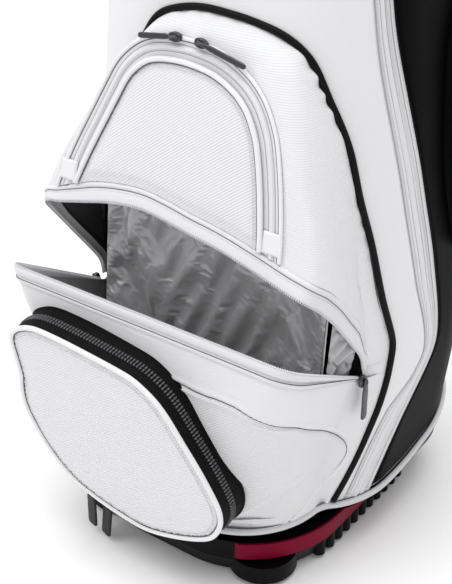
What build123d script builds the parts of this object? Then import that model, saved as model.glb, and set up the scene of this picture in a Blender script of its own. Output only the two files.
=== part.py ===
from build123d import *
import os
from math import atan2, cos, degrees, radians, sin, tan

# Golf staff bag, standing upright.  Millimetres, +Z up, front pockets towards -Y.
# The origin is on the floor under the middle of the moulded base.

# ---------------------------------------------------------------- driving dimensions
TRUNK_TOP = 850.0            # top edge of the fabric trunk, inside the cuff
CUFF_BOTTOM = 838.0
CUFF_TOP = 905.0
CUFF_EDGE = 3.0              # rounding of the cuff's top edge
BACK_Y = 170.0               # flat back of the trunk
WALL = 8.0                   # foam-backed trunk wall
SKIN = 5.0                   # padded fabric of the front pockets
CLEAR = 0.3                  # gap between faces that touch

# Trunk: height, half width, front, corner radius
TRUNK = [(20, 147, -95, 86), (60, 153, -95, 90), (225, 172, -95, 105), (380, 165, -95, 102),
         (533, 150, -93, 100), (700, 142, -92, 96), (920, 138, -92, 94)]
# Lower front pocket, from the hem to the mouth: the same four values
TUB = [(50, 119, -157, 86), (120, 134, -168, 76), (200, 148, -178, 56), (310, 157, -185, 36)]
# Upper front pocket, from the mouth to the top of its arch
LID = [(200, 152, -174, 30), (340, 148, -148, 34), (414, 131, -130, 32), (484, 103, -113, 44),
       (512, 80, -106, 30), (530, 40, -98, 14)]
POCKET_BACK = 60.0           # the pocket blocks run on inside the trunk as far as this

HEM_FRONT = 60.0             # seam between the fabric and the moulded base
HEM_SIDE_Y = 12.0            # the hem is level in front of this and rises behind it
HEM_BACK = 110.0

MOUTH_Y, MOUTH_Z = -57.0, 210.0      # axis through both ends of the open mouth
LOWER_LIP = 31.0             # lip planes through that axis, degrees above the horizontal
UPPER_LIP = 61.0
LIP_STRIP = 6.0              # each lip strip, as an angle at the axis
LIP_CLEAR = 14.0             # the strips start this far from the axis

POCKET_SPLIT = 206.5         # behind the mouth's axis the two pockets meet at this height

FACE_TOP = (-106.0, 512.0)   # front of the upper pocket, side view: y, z at its top
FACE_LEAN = 13.7             # and its lean from the vertical, degrees
ZIP_TAPE = 12.0              # half of a zipper tape's width
FACE_THICK, TAPE_THICK = 3.2, 2.4     # the panel inside the zipper, and its tape
U_ARC = 137.0                # radius of the small upper pocket's zipper at its top

BALL_LEAN = 6.7              # the ball pocket's face leans out at its top, degrees
BALL_TOP = (-217.0, 250.0)   # y, z of its top edge
BALL_COIL = -16.5            # its zipper's depth behind the face

FOOT_R, FOOT_H = 29.0, 20.0
FEET = [(-88, -118), (88, -118), (-90, 118), (90, 118)]

os.makedirs("parts", exist_ok=True)
WIDE = 400.0                 # longer than any cut


def save(solid, name):
    solid.label = name
    export_step(solid, f"parts/{name}.step")


# ---------------------------------------------------------------- section blocks
def section_at(table, z):
    """Half width, front and corner radius of a block at height z, on straight lines."""
    low, high = table[0], table[1]
    for first, second in zip(table, table[1:]):
        if z >= first[0]:
            low, high = first, second
    t = (z - low[0]) / (high[0] - low[0])
    return [a + t * (b - a) for a, b in zip(low[1:], high[1:])]


def block(table, back, z_low, z_high, grow=0.0):
    """A closed block between two heights, its sections grown sideways."""
    heights = [z_low] + [row[0] for row in table if z_low < row[0] < z_high] + [z_high]
    faces = []
    for z in heights:
        half, front, radius = section_at(table, z)
        width, depth = 2 * (half + grow), (back + grow) - (front - grow)
        plane = Plane((0, (back + front) / 2, z))
        faces.append(plane * RectangleRounded(width, depth, max(radius + grow, 2.0)))
    return loft(faces, ruled=True)


def trunk(z_low, z_high, grow=0.0):
    return block(TRUNK, BACK_Y, z_low, z_high, grow)


def tub(z_low, z_high, grow=0.0):
    return block(TUB, POCKET_BACK, z_low, z_high, grow)


def lid(z_low, z_high, grow=0.0):
    return block(LID, POCKET_BACK, z_low, z_high, grow)


# ---------------------------------------------------------------- side-view cuts
def side_prism(edges, x_low=-WIDE, x_high=WIDE):
    """The closed side-view outline (y, z), extruded across the bag."""
    return extrude(Plane.YZ.offset(x_low) * make_face(edges), x_high - x_low)


def polygon_prism(points, x_low=-WIDE, x_high=WIDE):
    return side_prism(Polyline(*points, close=True), x_low, x_high)


def hem_curve(lift=0.0):
    """Side view of the hem: level at the front, then rising to the back."""
    return [(-260, HEM_FRONT + lift), (HEM_SIDE_Y, HEM_FRONT + lift), (75, HEM_FRONT + 12 + lift),
            (135, HEM_BACK - 10 + lift), (260, HEM_BACK + lift)]


def below_hem(lift=0.0):
    return polygon_prism(hem_curve(lift) + [(260, -50), (-260, -50)])


def lip_wedge(low_angle, high_angle, reach=420.0, start=0.0):
    """The side-view wedge between two planes through the mouth's axis."""
    points = []
    for angle, length in ((low_angle, start), (low_angle, reach), (high_angle, reach), (high_angle, start)):
        points.append((MOUTH_Y - length * cos(radians(angle)), MOUTH_Z + length * sin(radians(angle))))
    return polygon_prism(points if start else points[:3])


# Side seams of the trunk, side view (y, z), bottom to top
ZIP_FRONT = [(-58, 50), (-26, 160), (21, 210), (-3, 290), (-27, 402), (-43, 516), (-50, 640), (-52, 860)]
ZIP_REAR = [(-30, 50), (0, 134), (46, 212), (30, 298), (5, 386), (-14, 463), (-28, 540), (-37, 660), (-38, 860)]
BACK_SEAM_Y = 128.0


def seam(points):
    return Spline(*points)


def between(points_a, points_b, x_low, x_high):
    """The band between two side-view seams that run from bottom to top."""
    first, second = seam(points_a), seam(points_b)
    return side_prism([first, Line(points_a[-1], points_b[-1]), second, Line(points_b[0], points_a[0])],
                      x_low, x_high)


def slab(x0, x1, y0, y1, z0, z1):
    return Pos((x0 + x1) / 2, (y0 + y1) / 2, (z0 + z1) / 2) * Box(x1 - x0, y1 - y0, z1 - z0)


def upright(radius, x, y, z_low, z_high):
    return Pos(x, y, (z_low + z_high) / 2) * Cylinder(radius, z_high - z_low)


# ---------------------------------------------------------------- moulded base
PLINTH = [(0, 122, -151, 94), (24, 132, -161, 101), (60, 133, -161, 101)]
PLINTH_BACK = 160.0
PLINTH_TOP = 46.0
REAR_RIM = [(12, 120, -90, 84), (60, 154, -96, 91), (90, 158, -96, 93)]
FRONT_RIM = [(30, 110, -153, 82), (60, 121.5, -159.5, 88.5), (90, 126, -164, 86)]
RIM_BACK = 163.0
RIB_R, RIB_COUNT, RIB_START, RIB_PITCH = 6.5, 11, -75.0, 15.0


def base_block(z_low, z_high, grow=0.0, plinth_top=PLINTH_TOP):
    """The plinth, and the two flared rims that carry the trunk and the front pocket."""
    base = block(PLINTH, PLINTH_BACK, z_low, min(z_high, plinth_top), grow)
    base = base + block(REAR_RIM, RIM_BACK, max(z_low, 14), z_high, grow)
    return base + block(FRONT_RIM, POCKET_BACK, max(z_low, 32), z_high, grow)


def plinth_side(y, z):
    """Half width of the plinth at a height and a distance along the bag."""
    half, front, radius = section_at(PLINTH, z)
    past = max(front + radius - y, y - (PLINTH_BACK - radius), 0)
    return half - radius + (radius ** 2 - past ** 2) ** 0.5


def base_tray():
    tray = base_block(5, HEM_FRONT) - base_block(12, HEM_FRONT + 1, -4, PLINTH_TOP - 4)
    collar = trunk(HEM_FRONT - 6, 125, 1.2) - trunk(HEM_FRONT - 7, 126, -4)
    collar = collar & below_hem()
    collar = collar & slab(-WIDE, WIDE, -40, WIDE, 0, 140)
    tray = tray + collar
    tray = tray + upright(24, 0, 0, 0, 12)
    for x, y in FEET:
        tray = tray + upright(FOOT_R + 4, x, y, 5, 24)
        tray = tray - upright(FOOT_R + CLEAR, x, y, -1, FOOT_H + CLEAR)
        tray = tray + upright(9, x, y, 5, 24) - upright(2.6, x, y, -1, 26)
    return tray


def base_ribs():
    """Scalloped ribs along both sides of the plinth."""
    ribs = []
    for index in range(RIB_COUNT):
        y = RIB_START + RIB_PITCH * index
        for side in (-1, 1):
            ribs.append(upright(RIB_R, side * (plinth_side(y, 15) - 2.5), y, 5, 25) - base_block(5, 25))
    return Compound(ribs)


def foot_pads():
    pads = []
    for x, y in FEET:
        pad = upright(FOOT_R, x, y, 0, FOOT_H)
        pad = fillet(pad.edges().group_by(Axis.Z)[0], 3)
        pad = pad - upright(9.3, x, y, 5 - CLEAR, 40) - upright(6, x, y, -1, 5)
        out = degrees(atan2(y, x))
        for turn in (-34, 0, 34):
            angle = radians(out + turn)
            groove = Pos(x + FOOT_R * cos(angle), y + FOOT_R * sin(angle), 12) * Cylinder(2.6, 16)
            pad = pad - groove
        pads.append(pad)
    return Compound(pads)


def base_screws():
    screws = []
    for x, y in FEET:
        screws.append(upright(2.5, x, y, 3.2, 24) + upright(5, x, y, 2.2, 4.4))
    return Compound(screws)


def base_inlay():
    band = base_block(27, 45, 2.2) - base_block(26, 46, 0.1)
    band = band & slab(-WIDE, WIDE, -150, 40, 27, 45)
    return band - slab(-70, 70, -200, 100, 0, 60)


def hem_piping():
    ring = (trunk(45, 130, 3) + tub(52, 80, 3)) - (trunk(44, 131, 0.1) + tub(51, 81, 0.1))
    band = polygon_prism(hem_curve(3) + hem_curve(-3)[::-1])
    return (ring & band) - base_tray()


# ---------------------------------------------------------------- trunk
def trunk_shell():
    return trunk(52, TRUNK_TOP) - trunk(51, TRUNK_TOP + 1, -WALL) - below_hem()


def front_limit():
    """Everything in front of the two long side zippers."""
    line = seam(ZIP_FRONT)
    low, high = ZIP_FRONT[0], ZIP_FRONT[-1]
    return side_prism([line, Line(high, (-260, high[1])), Line((-260, high[1]), (-260, low[1])),
                       Line((-260, low[1]), low)])


def rear_limit():
    """Everything between the side zippers and the back seam."""
    line = seam(ZIP_REAR)
    low, high = ZIP_REAR[0], ZIP_REAR[-1]
    return side_prism([line, Line(high, (BACK_SEAM_Y, high[1])),
                       Line((BACK_SEAM_Y, high[1]), (BACK_SEAM_Y, low[1])), Line((BACK_SEAM_Y, low[1]), low)])


def side_pocket(side):
    """Raised clothing pocket low on each side, behind the long zipper."""
    front = Spline((62, 300), (40, 400), (44, 470), (66, 540))
    outline = [front, Line((66, 540), (126, 540)), Line((126, 540), (126, 300)), Line((126, 300), (62, 300))]
    raised = trunk(295, 545, 13) - trunk(294, 546, CLEAR)
    x_low, x_high = sorted((side * 60, side * WIDE))
    return raised & side_prism(outline, x_low, x_high)


STAYS = [(-84, -46), (84, -46), (-84, 122), (84, 122)]


def trunk_stays():
    return Compound([upright(3.5, x, y, 24.3, CUFF_BOTTOM) for x, y in STAYS])


# ---------------------------------------------------------------- cuff and dividers
def cuff_ring():
    ring = trunk(CUFF_BOTTOM, CUFF_TOP, 6) - trunk(CUFF_BOTTOM - 1, CUFF_TOP + 1, 0.3)
    ring = ring + (trunk(TRUNK_TOP, CUFF_TOP, 2) - trunk(TRUNK_TOP - 1, CUFF_TOP + 1, -WALL))
    top = ring.edges().filter_by(lambda e: e.center().Z > CUFF_TOP - 0.1)
    return fillet(top, CUFF_EDGE)


DIVIDER_FOOT = 25.0
CROSS_Y = (-14.0, 90.0)


def cuff_divider():
    inside = trunk(TRUNK_TOP + 4, CUFF_TOP - 8, -WALL - CLEAR)
    bars = slab(-7, 7, -200, 200, TRUNK_TOP + 4, CUFF_TOP - 8)
    for y in CROSS_Y:
        bars = bars + slab(-200, 200, y - 6, y + 6, TRUNK_TOP + 4, CUFF_TOP - 8)
    return bars & inside


def divider_long_wall():
    return slab(-1.5, 1.5, -80, 158, DIVIDER_FOOT, TRUNK_TOP + 3)


def divider_cross_walls():
    walls = []
    for y in CROSS_Y:
        walls.append(slab(-118, -1.8, y - 1.2, y + 1.2, DIVIDER_FOOT, TRUNK_TOP + 3))
        walls.append(slab(1.8, 118, y - 1.2, y + 1.2, DIVIDER_FOOT, TRUNK_TOP + 3))
    return Compound(walls)


def base_foam_pad():
    pad = block([(0, 106, -72, 70), (60, 106, -72, 70)], 140, 12.3, 21.5)
    for x, y in FEET:
        pad = pad - upright(FOOT_R + 4.5, x, y, 0, 40)
    return pad


def grip(y_inner, y_outer):
    """A lifting handle moulded on the cuff, with a finger gap under its bar."""
    outer = slab(-66, 66, y_inner, y_outer, CUFF_BOTTOM + 8, CUFF_TOP + 14)
    outer = fillet(outer.edges().filter_by(Axis.Y), 16)
    gap = slab(-50, 50, y_inner - 1, y_outer + 1, CUFF_BOTTOM + 26, CUFF_TOP - 6)
    gap = fillet(gap.edges().filter_by(Axis.Y), 10)
    return outer - gap


# ---------------------------------------------------------------- front pockets
def lip_cut(angle, above):
    """Half space above or below a lip plane, as a big wedge about the mouth's axis."""
    far = 500.0
    c, s = cos(radians(angle)), sin(radians(angle))
    start = (MOUTH_Y + far * c, MOUTH_Z - far * s)
    end = (MOUTH_Y - far * c, MOUTH_Z + far * s)
    shift = (s * far, c * far) if above else (-s * far, -c * far)
    far_end = (end[0] + shift[0], end[1] + shift[1])
    far_start = (start[0] + shift[0], start[1] + shift[1])
    return polygon_prism([start, end, far_end, far_start])


def tub_shell(top_angle):
    block_out = tub(62, 308) - trunk(61, 309, CLEAR)
    hollow = tub(68, 309, -SKIN) & slab(-WIDE, WIDE, -WIDE, 20, 68, 400)
    behind_axis = slab(-WIDE, WIDE, MOUTH_Y, WIDE, POCKET_SPLIT, 400)
    return block_out - hollow - lip_cut(top_angle, True) - behind_axis


def lid_shell(bottom_angle):
    block_out = lid(POCKET_SPLIT + 0.5, 529) - trunk(204, 531, CLEAR)
    hollow = lid(203, 515, -SKIN)
    return block_out - hollow - lip_cut(bottom_angle, False)


def largest(shape):
    return max(shape.solids(), key=lambda s: s.volume)


def lip_strip(shell, low_angle, high_angle):
    strip = shell & lip_wedge(low_angle, high_angle, start=LIP_CLEAR)
    return largest(strip)


def cooler_liner():
    outer = tub(69, 290, -SKIN - 1.5) - trunk(68, 400, 4)
    inner = tub(71, 291, -SKIN - 3.5) - trunk(70, 400, 6)
    bag = (outer - inner) - lip_cut(LOWER_LIP - LIP_STRIP - 2, True)
    curtain = (trunk(72, 330, 6) - trunk(71, 331, 4)) & slab(-105, 105, -WIDE, -60, 72, 330)
    return bag + curtain


def arch_piping():
    """Black piping where both front pockets meet the trunk."""
    upper = lid(POCKET_SPLIT, 529, 3) - lid(POCKET_SPLIT - 1, 530, 0.2)
    lower = tub(63, POCKET_SPLIT, 3) - tub(62, 215, 0.2)
    along = (trunk(60, 540, 4) - trunk(59, 541, CLEAR))
    return (upper + lower) & along


# ---------------------------------------------------------------- upper pocket's face
def face_plane(out=0.0):
    """Plane of the upper pocket's front: its own x is the bag's x, its y runs up the slope."""
    lean = radians(FACE_LEAN)
    normal = (0, -cos(lean), sin(lean))
    origin = (0, FACE_TOP[0] + out * normal[1], FACE_TOP[1] + out * normal[2])
    return Plane(origin, x_dir=(1, 0, 0), z_dir=normal)


def u_outline(inset):
    """The small pocket's outline on that plane, inset from the zipper tape's outer edge."""
    points = [(-116, -160), (-105, -8), (0, 4), (105, -8), (116, -160)]
    shape = make_face(Polyline(*points, close=True))
    shape = fillet(shape.vertices().group_by(Axis.Y)[0], 6)
    corners = [v for v in shape.vertices() if v.Y > -20 and abs(v.X) > 60]
    shape = fillet(corners, 62)
    return offset(shape, -inset) if inset else shape


def u_layer(inset_out, inset_in, low, high):
    """A flat layer on the upper pocket's face, between two outlines and two heights."""
    shape = u_outline(inset_out)
    if inset_in:
        shape = shape - u_outline(inset_in)
    layer = extrude(face_plane(low) * shape, high - low)
    return layer - lip_cut(UPPER_LIP + LIP_STRIP + CLEAR, False)


# ---------------------------------------------------------------- ball pocket
BALL_OUTLINE = [(-128, 7, 18), (42, 0, 42), (88, -91, 120), (106, -159, 26), (0, -191, 60),
                (-62, -182, 40), (-112, -158, 50), (-132, -100, 50)]


def ball_plane(out=0.0):
    lean = radians(BALL_LEAN)
    normal = (0, -cos(lean), -sin(lean))
    origin = (0, BALL_TOP[0] + out * normal[1], BALL_TOP[1] + out * normal[2])
    return Plane(origin, x_dir=(1, 0, 0), z_dir=normal)


def ball_outline(inset=0.0):
    points = [(x, y) for x, y, r in BALL_OUTLINE]
    radii = [r for x, y, r in BALL_OUTLINE]
    edge = FilletPolyline(*points, radius=radii, close=True)
    shape = make_face(edge)
    return offset(shape, -inset) if inset else shape


def ball_ring(inset_out, inset_in, low, high):
    shape = ball_outline(inset_out) - ball_outline(inset_in)
    return extrude(ball_plane(low) * shape, high - low)


def ball_door():
    face = extrude(ball_plane(-5) * ball_outline(), 5)
    return face + ball_ring(1, 4, -16, -5)


def ball_gusset():
    ring = ball_ring(1, 4, -75, -17)
    return largest(ring - tub(40, 308, CLEAR) - base_block(0, 62, CLEAR + 3))


# ---------------------------------------------------------------- zipper hardware
def slider_body(length=13.0, width=9.0, height=5.0):
    """Lies along its own x, on z = 0, with its bridge on top."""
    body = Pos(0, 0, height / 2) * Box(length, width, height)
    body = fillet(body.edges().filter_by(Axis.Z), 2.5)
    bridge = Pos(0, 0, height + 1.6) * Box(7, 2.4, 3.4) - Pos(0, 0, height + 1.2) * Box(3.2, 3, 2.0)
    return body + bridge


def puller_body(length=38.0, width=8.0, thick=2.2):
    """Hangs along -x from the pin at its origin: a pin, two arms, then a flat tab."""
    pin = Rot(90, 0, 0) * Cylinder(0.75, width - 1)
    arms = Pos(-3, 2.7, 0) * Box(6, 1.2, 1.5) + Pos(-3, -2.7, 0) * Box(6, 1.2, 1.5)
    tab = Pos(-(length + 5) / 2, 0, 0) * Box(length - 5, width, thick)
    tab = fillet(tab.edges().filter_by(Axis.Z), width / 2 - 0.6)
    return pin + arms + tab


PIN_HEIGHT = 6.2             # of a puller's pin above its slider's base
U_PULLER, MOUTH_PULLER, BALL_PULLER, SIDE_PULLER = 38.0, 40.0, 32.0, 34.0    # their lengths
MOUTH_SLIDER_X = 153.0       # the open mouth's sliders stand this far from the middle
SIDE_SLIDER_Z = 790.0        # and the long side zippers' sliders at this height
SIDE_SLIDER_TURN = 31.0      # round the trunk's front corner, degrees


def add_slider(name, origin, travel, outward, hang, puller_length):
    """A slider on its tape, and its puller pinned in the bridge, lying or hanging along hang."""
    origin, travel, outward, hang = Vector(*origin), Vector(*travel), Vector(*outward), Vector(*hang)
    save(Plane(origin, x_dir=travel, z_dir=outward).location * slider_body(), f"{name}_slider")
    pin_axis = outward.cross(travel)
    tab_normal = (hang * -1).cross(pin_axis)
    pin = origin + outward.normalized() * PIN_HEIGHT
    frame = Plane(pin, x_dir=hang * -1, z_dir=tab_normal)
    save(frame.location * puller_body(puller_length), f"{name}_puller")


def in_plane(plane, x, v, out=0.0):
    return plane.origin + plane.x_dir * x + plane.y_dir * v + plane.z_dir * out


def direction(plane, x, v, out=0.0):
    return plane.x_dir * x + plane.y_dir * v + plane.z_dir * out


def upper_pocket_sliders():
    plane = face_plane()
    for side, name, angle in ((-1, "u_zip_left", 4.6), (1, "u_zip_right", 5.4)):
        turn = radians(angle)
        x, v = side * U_ARC * sin(turn), U_ARC * (cos(turn) - 1) - 8
        outwards = direction(plane, side * cos(turn), -sin(turn))
        add_slider(name, in_plane(plane, x, v, 3.5), outwards, plane.z_dir, outwards, U_PULLER)


def mouth_sliders():
    for side, name in ((-1, "mouth_left"), (1, "mouth_right")):
        origin = (side * MOUTH_SLIDER_X, MOUTH_Y - 9, MOUTH_Z + 4)
        add_slider(name, origin, (0, 0, 1), (side, 0, 0), (0, 0, -1), MOUTH_PULLER)


# Name, the straight stretch of the outline that it runs on, and how far along it stands
BALL_SLIDERS = [("ball_zip_right", (0, -191), (-62, -182), 50.0),
                ("ball_zip_left", (-62, -182), (-112, -158), 10.0)]
BALL_SLIDER_OUT = 2.4        # its base stands this far outside the outline


def ball_sliders():
    plane = ball_plane()
    for name, start, end, along in BALL_SLIDERS:
        run = Vector(end[0] - start[0], end[1] - start[1]).normalized()
        out = Vector(-run.Y, run.X)
        x = start[0] + run.X * along + out.X * BALL_SLIDER_OUT
        v = start[1] + run.Y * along + out.Y * BALL_SLIDER_OUT
        origin = in_plane(plane, x, v, BALL_COIL)
        add_slider(name, origin, direction(plane, run.X, run.Y), direction(plane, out.X, out.Y),
                   (0, 0, -1), BALL_PULLER)


def side_zip_point(z, side, grow=0.0):
    """On the long side zipper at a height near the top, and the outward direction there."""
    half, front, radius = section_at(TRUNK, z)
    turn = radians(SIDE_SLIDER_TURN)
    x = half - radius + (radius + grow) * cos(turn)
    y = front + radius - (radius + grow) * sin(turn)
    return Vector(side * x, y, z), Vector(side * cos(turn), -sin(turn), 0)


def side_sliders():
    for side, name in ((-1, "side_zip_left"), (1, "side_zip_right")):
        origin, outward = side_zip_point(SIDE_SLIDER_Z, side, 0.6)
        low, _ = side_zip_point(SIDE_SLIDER_Z - 80, side, 0.6)
        travel = (origin - low).normalized()
        outward = (outward - travel * outward.dot(travel)).normalized()
        add_slider(name, origin, travel, outward, travel * -1, SIDE_PULLER)


# ---------------------------------------------------------------- small hardware on the trunk
TOWEL_RING = (-144.8, 40.0, 808.0)       # where the ring hangs in its tab


def towel_ring_tab():
    x, y, z = TOWEL_RING
    tab = slab(x - 4.6, -140.2, y - 4, y + 4, z - 6, z + 16)
    plate = slab(-142.2, -140.2, y - 14, y + 14, z - 6, z + 24)
    return tab + plate - Pos(x, y, z) * Rot(90, 0, 0) * Cylinder(2.8, 40)


def towel_ring():
    x, y, z = TOWEL_RING
    return Pos(x, y, z - 20) * Rot(0, 90, 0) * Torus(20, 2)


UMBRELLA = (-96.0, 200.0)                # upright axis of the umbrella holder
UMBRELLA_R = 18.0


def umbrella_ring():
    x, y = UMBRELLA
    ring = upright(24, x, y, 852, 882) + slab(x - 15, x + 15, BACK_Y - 40, y, 852, 882)
    return ring - upright(UMBRELLA_R, x, y, 850, 890) - trunk(840, 900, 6 + CLEAR)


def umbrella_cup():
    x, y = UMBRELLA
    cup = upright(UMBRELLA_R + 3.5, x, y, 135, 330) + slab(x - 14, x + 14, BACK_Y - 30, y - 10, 140, 320)
    return cup - upright(UMBRELLA_R + 0.5, x, y, 139, 340) - trunk(130, 335, CLEAR)


STRAP_R, STRAP_Y, STRAP_Z = 428.0, -188.0, 560.0     # side-view arc of the shoulder strap


def strap_arc(r_low, r_high, turn, half_width):
    """A sector of the strap's arc, extruded across its width."""
    ring = Plane.YZ.offset(-half_width) * Pos(STRAP_Y, STRAP_Z) * (Circle(r_high) - Circle(r_low))
    ring = extrude(ring, 2 * half_width)
    rise = 600 * tan(radians(turn))
    wedge = polygon_prism([(STRAP_Y, STRAP_Z), (STRAP_Y + 600, STRAP_Z - rise), (STRAP_Y + 600, STRAP_Z + rise)])
    return ring & wedge


STRAP_ENDS = (-1, 1)


def strap_anchors():
    patches = []
    for end in STRAP_ENDS:
        z = STRAP_Z + end * 220
        patches.append(slab(-28, 28, BACK_Y + CLEAR, 174, z - 26, z + 26)
                       + slab(-17, 17, 174, 182.8, z - 3 + end * 6, z + 3 + end * 6))
    return Compound(patches)


def strap_d_rings():
    rings = []
    for end in STRAP_ENDS:
        z = STRAP_Z + end * 216
        ring = slab(-27, 27, 183, 187.5, z - 12, z + 12) - slab(-21.5, 21.5, 180, 190, z - 7, z + 7)
        rings.append(fillet(ring.edges().filter_by(Axis.Y), 2.4))
    return Compound(rings)


# ---------------------------------------------------------------- write every node
def main():
    save(base_tray(), "base_tray")
    save(base_inlay(), "base_inlay")
    save(base_ribs(), "base_ribs")
    save(foot_pads(), "foot_pads")
    save(base_screws(), "base_screws")
    save(base_foam_pad(), "base_foam_pad")
    save(hem_piping(), "hem_piping")
    save(trunk_stays(), "trunk_stays")

    shell = trunk_shell()
    behind_front = shell - front_limit()
    save(shell & front_limit(), "front_panel")
    save(shell & slab(-WIDE, WIDE, BACK_SEAM_Y, WIDE, 0, 900), "back_panel")
    zips = between(ZIP_FRONT, ZIP_REAR, -WIDE, WIDE) & shell
    sides = behind_front & rear_limit()
    for side, name in ((-1, "left"), (1, "right")):
        half = slab(*sorted((0, side * WIDE)), -WIDE, WIDE, 0, 900)
        save(sides & half, f"side_panel_{name}")
        save(zips & half, f"side_zip_{name}")
        save(side_pocket(side), f"side_pocket_{name}")
        save(slab(*sorted((side * 121, side * 122.5)), -18, 112, 130, 800), f"pocket_lining_{name}")

    save(cuff_ring(), "cuff_ring")
    save(cuff_divider(), "cuff_divider")
    save(divider_long_wall(), "divider_long_wall")
    save(divider_cross_walls(), "divider_cross_walls")
    save(grip(-116, -98 - CLEAR), "front_grip")
    save(grip(BACK_Y + 6 + CLEAR, BACK_Y + 24), "rear_grip")

    tub_whole = tub_shell(LOWER_LIP)
    lid_whole = lid_shell(UPPER_LIP)
    save(largest(tub_shell(LOWER_LIP - LIP_STRIP - CLEAR)), "lower_pocket")
    save(largest(lid_shell(UPPER_LIP + LIP_STRIP + CLEAR)), "upper_pocket")
    save(lip_strip(tub_whole, LOWER_LIP - LIP_STRIP, LOWER_LIP), "lower_lip")
    save(lip_strip(lid_whole, UPPER_LIP, UPPER_LIP + LIP_STRIP), "upper_lip")
    save(cooler_liner(), "cooler_liner")
    save(arch_piping(), "arch_piping")
    save(u_layer(ZIP_TAPE + 1, 0, CLEAR, FACE_THICK), "u_pocket_face")
    save(u_layer(0, ZIP_TAPE + 1, CLEAR, TAPE_THICK), "u_zip_tape")
    save(ball_gusset(), "ball_gusset")
    save(ball_door(), "ball_door")

    upper_pocket_sliders()
    mouth_sliders()
    ball_sliders()
    side_sliders()

    save(towel_ring_tab(), "towel_ring_tab")
    save(towel_ring(), "towel_ring")
    save(umbrella_ring(), "umbrella_ring")
    save(umbrella_cup(), "umbrella_cup")
    save(strap_arc(STRAP_R - 1, STRAP_R + 2, 28.1, 19), "strap_webbing")
    save(strap_arc(STRAP_R + 2, STRAP_R + 11, 17, 31), "strap_pad")
    save(strap_anchors(), "strap_anchors")
    save(strap_d_rings(), "strap_d_rings")


main()
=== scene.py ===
import math

import bpy
import numpy as np
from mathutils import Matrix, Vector
from mathutils.geometry import delaunay_2d_cdt


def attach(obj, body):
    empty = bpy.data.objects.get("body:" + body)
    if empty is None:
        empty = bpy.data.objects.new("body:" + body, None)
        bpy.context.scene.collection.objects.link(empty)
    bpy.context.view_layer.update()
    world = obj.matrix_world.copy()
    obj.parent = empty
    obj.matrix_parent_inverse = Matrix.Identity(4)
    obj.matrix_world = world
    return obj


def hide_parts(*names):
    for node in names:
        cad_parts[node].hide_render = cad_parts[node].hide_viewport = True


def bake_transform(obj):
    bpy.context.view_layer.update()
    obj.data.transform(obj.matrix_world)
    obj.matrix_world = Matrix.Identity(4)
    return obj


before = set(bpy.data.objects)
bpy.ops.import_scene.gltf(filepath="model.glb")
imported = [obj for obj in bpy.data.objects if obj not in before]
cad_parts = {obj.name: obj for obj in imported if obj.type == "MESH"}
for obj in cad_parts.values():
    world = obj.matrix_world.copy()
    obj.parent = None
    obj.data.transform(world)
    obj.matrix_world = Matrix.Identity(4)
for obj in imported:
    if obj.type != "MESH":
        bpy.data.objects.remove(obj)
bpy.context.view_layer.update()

MM = 0.001
V = lambda *a: np.array(a, float)


# ------------------------------------------------------------------ materials
def linear(c):
    return tuple(((v / 255 + 0.055) / 1.055) ** 2.4 if v > 10 else v / 255 / 12.92 for v in c) + (1.0,)


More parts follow.
